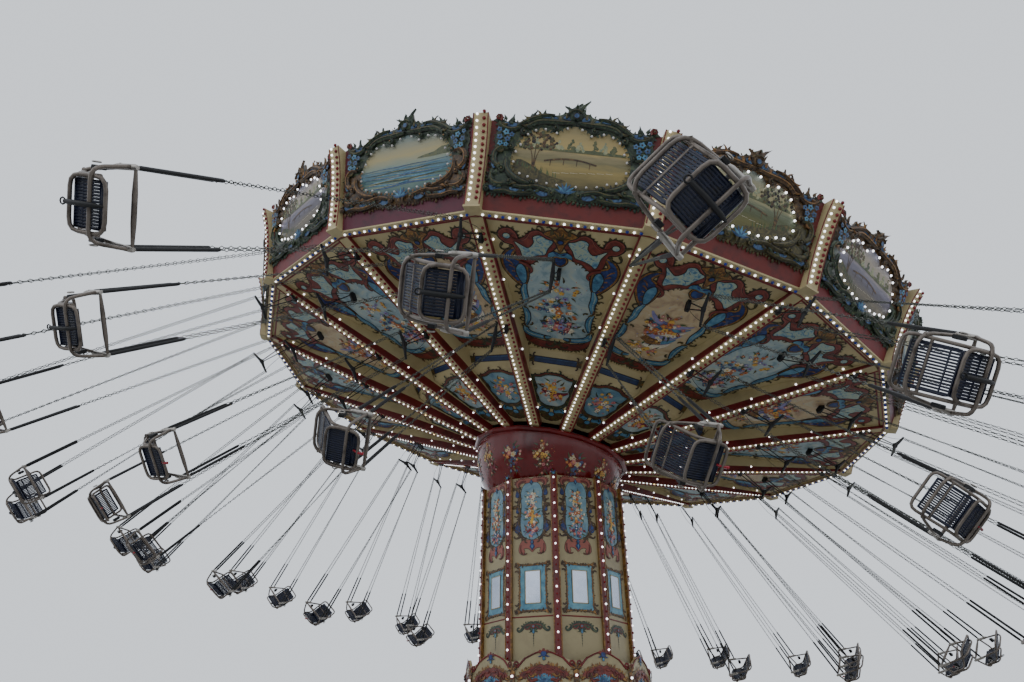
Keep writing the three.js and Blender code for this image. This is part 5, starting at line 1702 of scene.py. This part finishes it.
def chair_places():
    """For each ring, the place and directions of its sixteen chairs."""
    places = {}
    for kind, ring in RINGS.items():
        for i in range(BAYS):
            more_flare, more_trail, more_turn = SWAYS.get((kind, i + 1), (0, 0, 0))
            if kind == "middle":
                angle = rib_angle(i + 0.5)
                height = outer_ceiling(ring["radius"] / BAY_APOTHEM) - CEILING_ANCHOR
            else:
                angle = rib_angle(i)
                height = rib_bottom(ring["radius"]) + RIB_ANCHOR
            anchor = CANOPY[:3, :3] @ polar(ring["radius"], angle, height) + CANOPY[:3, 3]
            flare = math.radians(ring["flare"] + more_flare) + FLARE_SWING * math.cos(angle - FLARE_AZIMUTH)
            trail = angle + math.radians(ring["trail"] + more_trail)
            fall = polar(math.sin(flare), trail, -math.cos(flare))
            spot = anchor + fall * ring["length"]
            tangent = unit(np.cross(UP, (spot[0], spot[1], 0)))
            level = unit(tangent - fall * (tangent @ fall))
            side = np.cross(-fall, level)
            turn = math.radians(SEAT_TURN + more_turn)
            ahead = level * math.cos(turn) + side * math.sin(turn)
            left = np.cross(-fall, ahead)
            forward = ahead * math.cos(SEAT_PITCH) - fall * math.sin(SEAT_PITCH)
            seat = anchor + fall * (ring["length"] + SEAT_DROP)
            places.setdefault(kind, []).append((place(anchor, ahead, left, -fall),
                                                place(seat, forward, left, np.cross(forward, left))))
    return places


def grille(piece, line, fill, slats=15):
    """Plastic slats side by side along a line of (forward, up) points, with cross bars and a border."""
    line = np.asarray(line, float)
    half = GRILLE_HALF
    pitch = 2 * half / slats
    w, t = pitch * fill / 2, 0.006
    for k in range(slats):
        side = np.full(len(line), -half + pitch * (k + 0.5))
        sweep(piece, np.c_[line[:, 0], side, line[:, 1]], [(-w, -t), (w, -t), (w, t), (-w, t)], "navy")
    share = np.linspace(0, 1, len(line))
    for at in (0.0, 0.33, 0.67, 1.0):
        f, u = [np.interp(at, share, line[:, c]) for c in (0, 1)]
        tube(piece, [(f, -half, u), (f, half, u)], 0.009, "navy", 4)
    edge = [(f, half, u) for f, u in line] + [(f, -half, u) for f, u in line[::-1]]
    tube(piece, edge, 0.011, "navy", 5, True)


def chair(handle):
    """One chair in its own directions: forward, left and up from the middle of the pan.

    A red pull handle or a black strap with a ring hangs from the front of the pan.
    """
    piece = Piece()
    grille(piece, [(0.118, -0.012), (-0.118, -0.012)], 0.9)
    grille(piece, [(0.160, -0.010), (0.126, -0.012)], 0.25, slats=6)
    grille(piece, spline([(-0.122, 0.008), (-0.165, 0.065), (-0.25, 0.172), (-0.325, 0.272)], 2), 0.72)
    seat_loop = rounded([(PAN_FRONT, -0.20, -0.04), (PAN_FRONT, 0.20, -0.04), (PAN_REAR, 0.20, -0.04),
                         (PAN_REAR, -0.20, -0.04)], 0.09, 3)
    tube(piece, seat_loop, TUBE, "steel", 7, True)
    frame_path = [(0.12, 0.205, -0.02), (-0.10, 0.205, -0.01), (-0.361, 0.216, 0.33),
                  (-0.361, -0.216, 0.33), (-0.10, -0.205, -0.01), (0.12, -0.205, -0.02)]
    tube(piece, rounded(frame_path, 0.075, 3, False), TUBE, "steel", 7)
    tube(piece, [(-0.245, -0.21, 0.17), (-0.245, 0.21, 0.17)], TUBE * 0.85, "steel", 6)
    arms = [(ARM_FRONT, ARM_HALF, ARM_HEIGHT), (ARM_REAR, ARM_REAR_HALF, ARM_HEIGHT),
            (ARM_REAR, -ARM_REAR_HALF, ARM_HEIGHT), (ARM_FRONT, -ARM_HALF, ARM_HEIGHT)]
    tube(piece, rounded(arms, 0.12, 4, False), TUBE, "steel", 7)
    hoop = [(EYES[0], ARM_HALF, ARM_HEIGHT), (HOOP_FORWARD, HOOP_HALF + 0.027, HOOP_DROP),
            (HOOP_FORWARD, -HOOP_HALF - 0.027, HOOP_DROP), (EYES[0], -ARM_HALF, ARM_HEIGHT)]
    tube(piece, rounded(hoop, 0.09, 4, False), TUBE, "steel", 7)
    for sign in (-1, 1):
        y = sign * EYE_HALF
        tube(piece, [(-0.262, sign * 0.213, ARM_HEIGHT), (-0.30, sign * 0.236, ARM_HEIGHT)], TUBE,
             "steel", 6)
        tube(piece, [(-0.01, sign * 0.283, ARM_HEIGHT), (0.02, sign * 0.286, ARM_HEIGHT),
                     (0.19, y, ARM_HEIGHT), (0.212, y, ARM_HEIGHT)], [0.017, 0.024, 0.024, 0.018],
             "casting", 8)
        for f in EYES:
            tube(piece, [(f, y, ARM_HEIGHT), (f, y, ARM_HEIGHT + 0.052)], [0.021, 0.013], "casting", 6)
        block(piece, (-0.06, sign * 0.262, 0.12), (0.055, 0.034, 0.085), "black", 0.006)
        ring = [(f, sign * 0.30, u) for f, u in round_patch((-0.06, 0.10), 0.027, 8)]
        tube(piece, ring, 0.007, "casting", 4, True)
    lap_bar = [(ARM_FRONT, y * ARM_HALF, ARM_HEIGHT + 0.005) for y in (-1.0, -0.8, -0.35, 0.35, 0.8, 1.0)]
    tube(piece, lap_bar, [0.011, 0.015, 0.022, 0.022, 0.015, 0.011], "steel", 7)
    if handle:
        pull = spline([(0.14, 0, -0.02), (0.20, 0, -0.046), (0.25, 0, -0.040)], 2)
        tube(piece, pull, [0.010, 0.013, 0.016], "handle", 6)
        return piece
    strap = spline([(0.185, 0, -0.05), (0.10, 0, -0.088), (-0.02, 0, -0.096), (-0.13, 0, -0.085)], 3)
    tube(piece, strap, [0.009, 0.018, 0.020, 0.020, 0.017], "black", 6)
    tube(piece, [(f, y, -0.083) for f, y in round_patch((-0.152, 0), 0.024, 8)], 0.007, "black", 4, True)
    return piece


def link():
    """One chain link, 1 long, as a flat ring with its length along the first axis."""
    piece = Piece()
    shape = [(-0.66, 0), (0, 0.30), (0.66, 0), (0, -0.30)]
    tube(piece, [(x, 0, z) for x, z in shape], 0.10, "chain", 3, True)
    return piece


def chain(piece, one, start, end, side):
    """Links from one point to another, each turned a quarter from the last."""
    run = end - start
    length = np.linalg.norm(run)
    count = max(1, round(length / LINK_PITCH))
    along = run / length
    a = unit(side - along * (side @ along))
    b = np.cross(along, a)
    size = length / count
    for k in range(count):
        y, z = (a, b) if k % 2 else (b, -a)
        piece.stamp(one, place(start + along * size * (k + 0.5), along * size, y * size, z * size))


def hanger():
    """The bracket, the two rods, the spreader and its safety wires: ahead, left and up."""
    piece = Piece()
    block(piece, (0, 0, -0.015), (0.05, 0.19, 0.09), "black", 0.03)
    for sign in (-1, 1):
        tube(piece, [(0, 0.052 * sign, -0.03), (0, 0.012 * sign, -ROD_LENGTH + 0.02)], 0.010, "black", 5)
        tube(piece, [(0.0, sign * a, -ROD_LENGTH + b) for a, b in
                     ((0.0, 0.035), (0.08, 0.012), (0.17, -0.004), (SPREADER_HALF - 0.005, -0.012))],
             [0.034, 0.028, 0.022, 0.016], "black", 6)
        wire = spline([(0.03, sign * 0.06, -0.04), (0.05, sign * 0.13, -0.25), (0.05, sign * 0.17, -0.48),
                       (0.0, sign * 0.20, -ROD_LENGTH - 0.02)], 3)
        tube(piece, wire, 0.004, "black", 4)
    block(piece, (0, 0, -ROD_LENGTH + 0.03), (0.045, 0.07, 0.08), "black", 0.015)
    return piece


def chairs():
    """All the chairs, hangers, chains and their sleeves, ring by ring."""
    with_strap, with_handle, one_hanger, one_link = chair(False), chair(True), hanger(), link()
    numbers = [f"{i + 1:02d}" for i in range(BAYS)]
    replaced = {"outer": [f"rib_{n}_with_chairs" for n in numbers],
                "middle": [f"bay_chair_{n}" for n in numbers]}
    for kind, places in chair_places().items():
        seats, chains, rods = Piece(), Piece(), Piece()
        for top, seat in places:
            seats.stamp(with_handle if kind == "inner" else with_strap, seat)
            rods.stamp(one_hanger, top)
            for sign in (-1, 1):
                for f, inset in zip(EYES, SPREADER_INSETS):
                    start = (top @ (0, sign * (SPREADER_HALF - inset), -ROD_LENGTH - 0.008, 1))[:3]
                    eye = (seat @ (f, sign * EYE_HALF, EYE_TOP, 1))[:3]
                    along = unit(start - eye)
                    sleeve = eye + along * SLEEVE_LENGTH
                    chain(chains, one_link, start, sleeve, seat[:3, 1])
                    tube(rods, [eye, eye + along * 0.02, sleeve - along * 0.02, sleeve],
                         [0.014, 0.018, 0.018, 0.014], "black", 6)
        seats.make(f"{kind}_chairs", "canopy", "seat_plastic")
        chains.make(f"{kind}_chains", "canopy", "chair_steel")
        rods.make(f"{kind}_hangers", "canopy", "black_sleeve", replaced.get(kind, ()))


# Finishes of the model's own nodes, the stage and the camera


def finish_nodes():
    """Gives the model's own nodes that stay in view their finishes."""
    chosen = {
        "foundation": "frame_dark", "base_plinth": "dark_red", "guide_mast": "frame_grey",
        # The tower panels take the darker cream, painted shade
        "lift_carriage": "frame_grey", "tower_head": "frame_dark", "tower_panels": "tower_cream",
        "tilt_spindle": "frame_dark", "canopy_hub": "frame_dark", "inner_ceiling": "cream",
        "outer_ceiling": "cream", "rim_fascia": "cream", "roof_deck": "roof", "roof_cap": "roof",
    }
    for name, paint in chosen.items():
        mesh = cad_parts[name].data
        mesh.materials.clear()
        mesh.materials.append(FINISH[paint])


def stage():
    """A plain pale floor under soft, even light."""
    mesh = bpy.data.meshes.new("floor")
    corners = [(x * FLOOR_REACH, y * FLOOR_REACH, 0) for x, y in ((-1, -1), (1, -1), (1, 1), (-1, 1))]
    mesh.from_pydata(corners, [], [(0, 1, 2, 3)])
    floor = bpy.data.objects.new("floor", mesh)
    worn("floor_grey", (172, 172, 170), (164, 164, 162), 0.8, scale=0.3)
    mesh.materials.append(FINISH["floor_grey"])
    bpy.context.scene.collection.objects.link(floor)
    world = bpy.data.worlds.new("studio")
    bpy.context.scene.world = world
    world.use_nodes = True
    background = world.node_tree.nodes["Background"]
    background.inputs["Color"].default_value = (0.88, 0.93, 1.0, 1)
    background.inputs["Strength"].default_value = 1.1
    for name, spot, size, power in (("key", (-14, -22, 16), 16.0, 400.0),
                                    ("fill", (20, -12, 6), 16.0, 200.0)):
        data = bpy.data.lights.new(name, "AREA")
        data.size, data.energy = size, power
        lamp = bpy.data.objects.new(name, data)
        lamp.location = spot
        lamp.rotation_euler = (Vector((0, 0, 6)) - Vector(spot)).to_track_quat("-Z", "Y").to_euler()
        bpy.context.scene.collection.objects.link(lamp)


def camera():
    """The camera at the viewpoint, looking up."""
    data = bpy.data.cameras.new("viewpoint")
    data.sensor_width, data.lens = SENSOR, LENS
    data.clip_end = 1000.0
    made = bpy.data.objects.new("viewpoint", data)
    made.location = EYE_PLACE
    made.rotation_euler = (EYE_PITCH, 0, EYE_HEADING)
    bpy.context.scene.collection.objects.link(made)
    bpy.context.scene.camera = made


camera()
stage()
finish_nodes()
ceiling_ornament()
ribs()
rim_lamps()
rounding_boards()
corner_pillars()
roof_seams()
sphere()
collar()
tower()
base()
chairs()
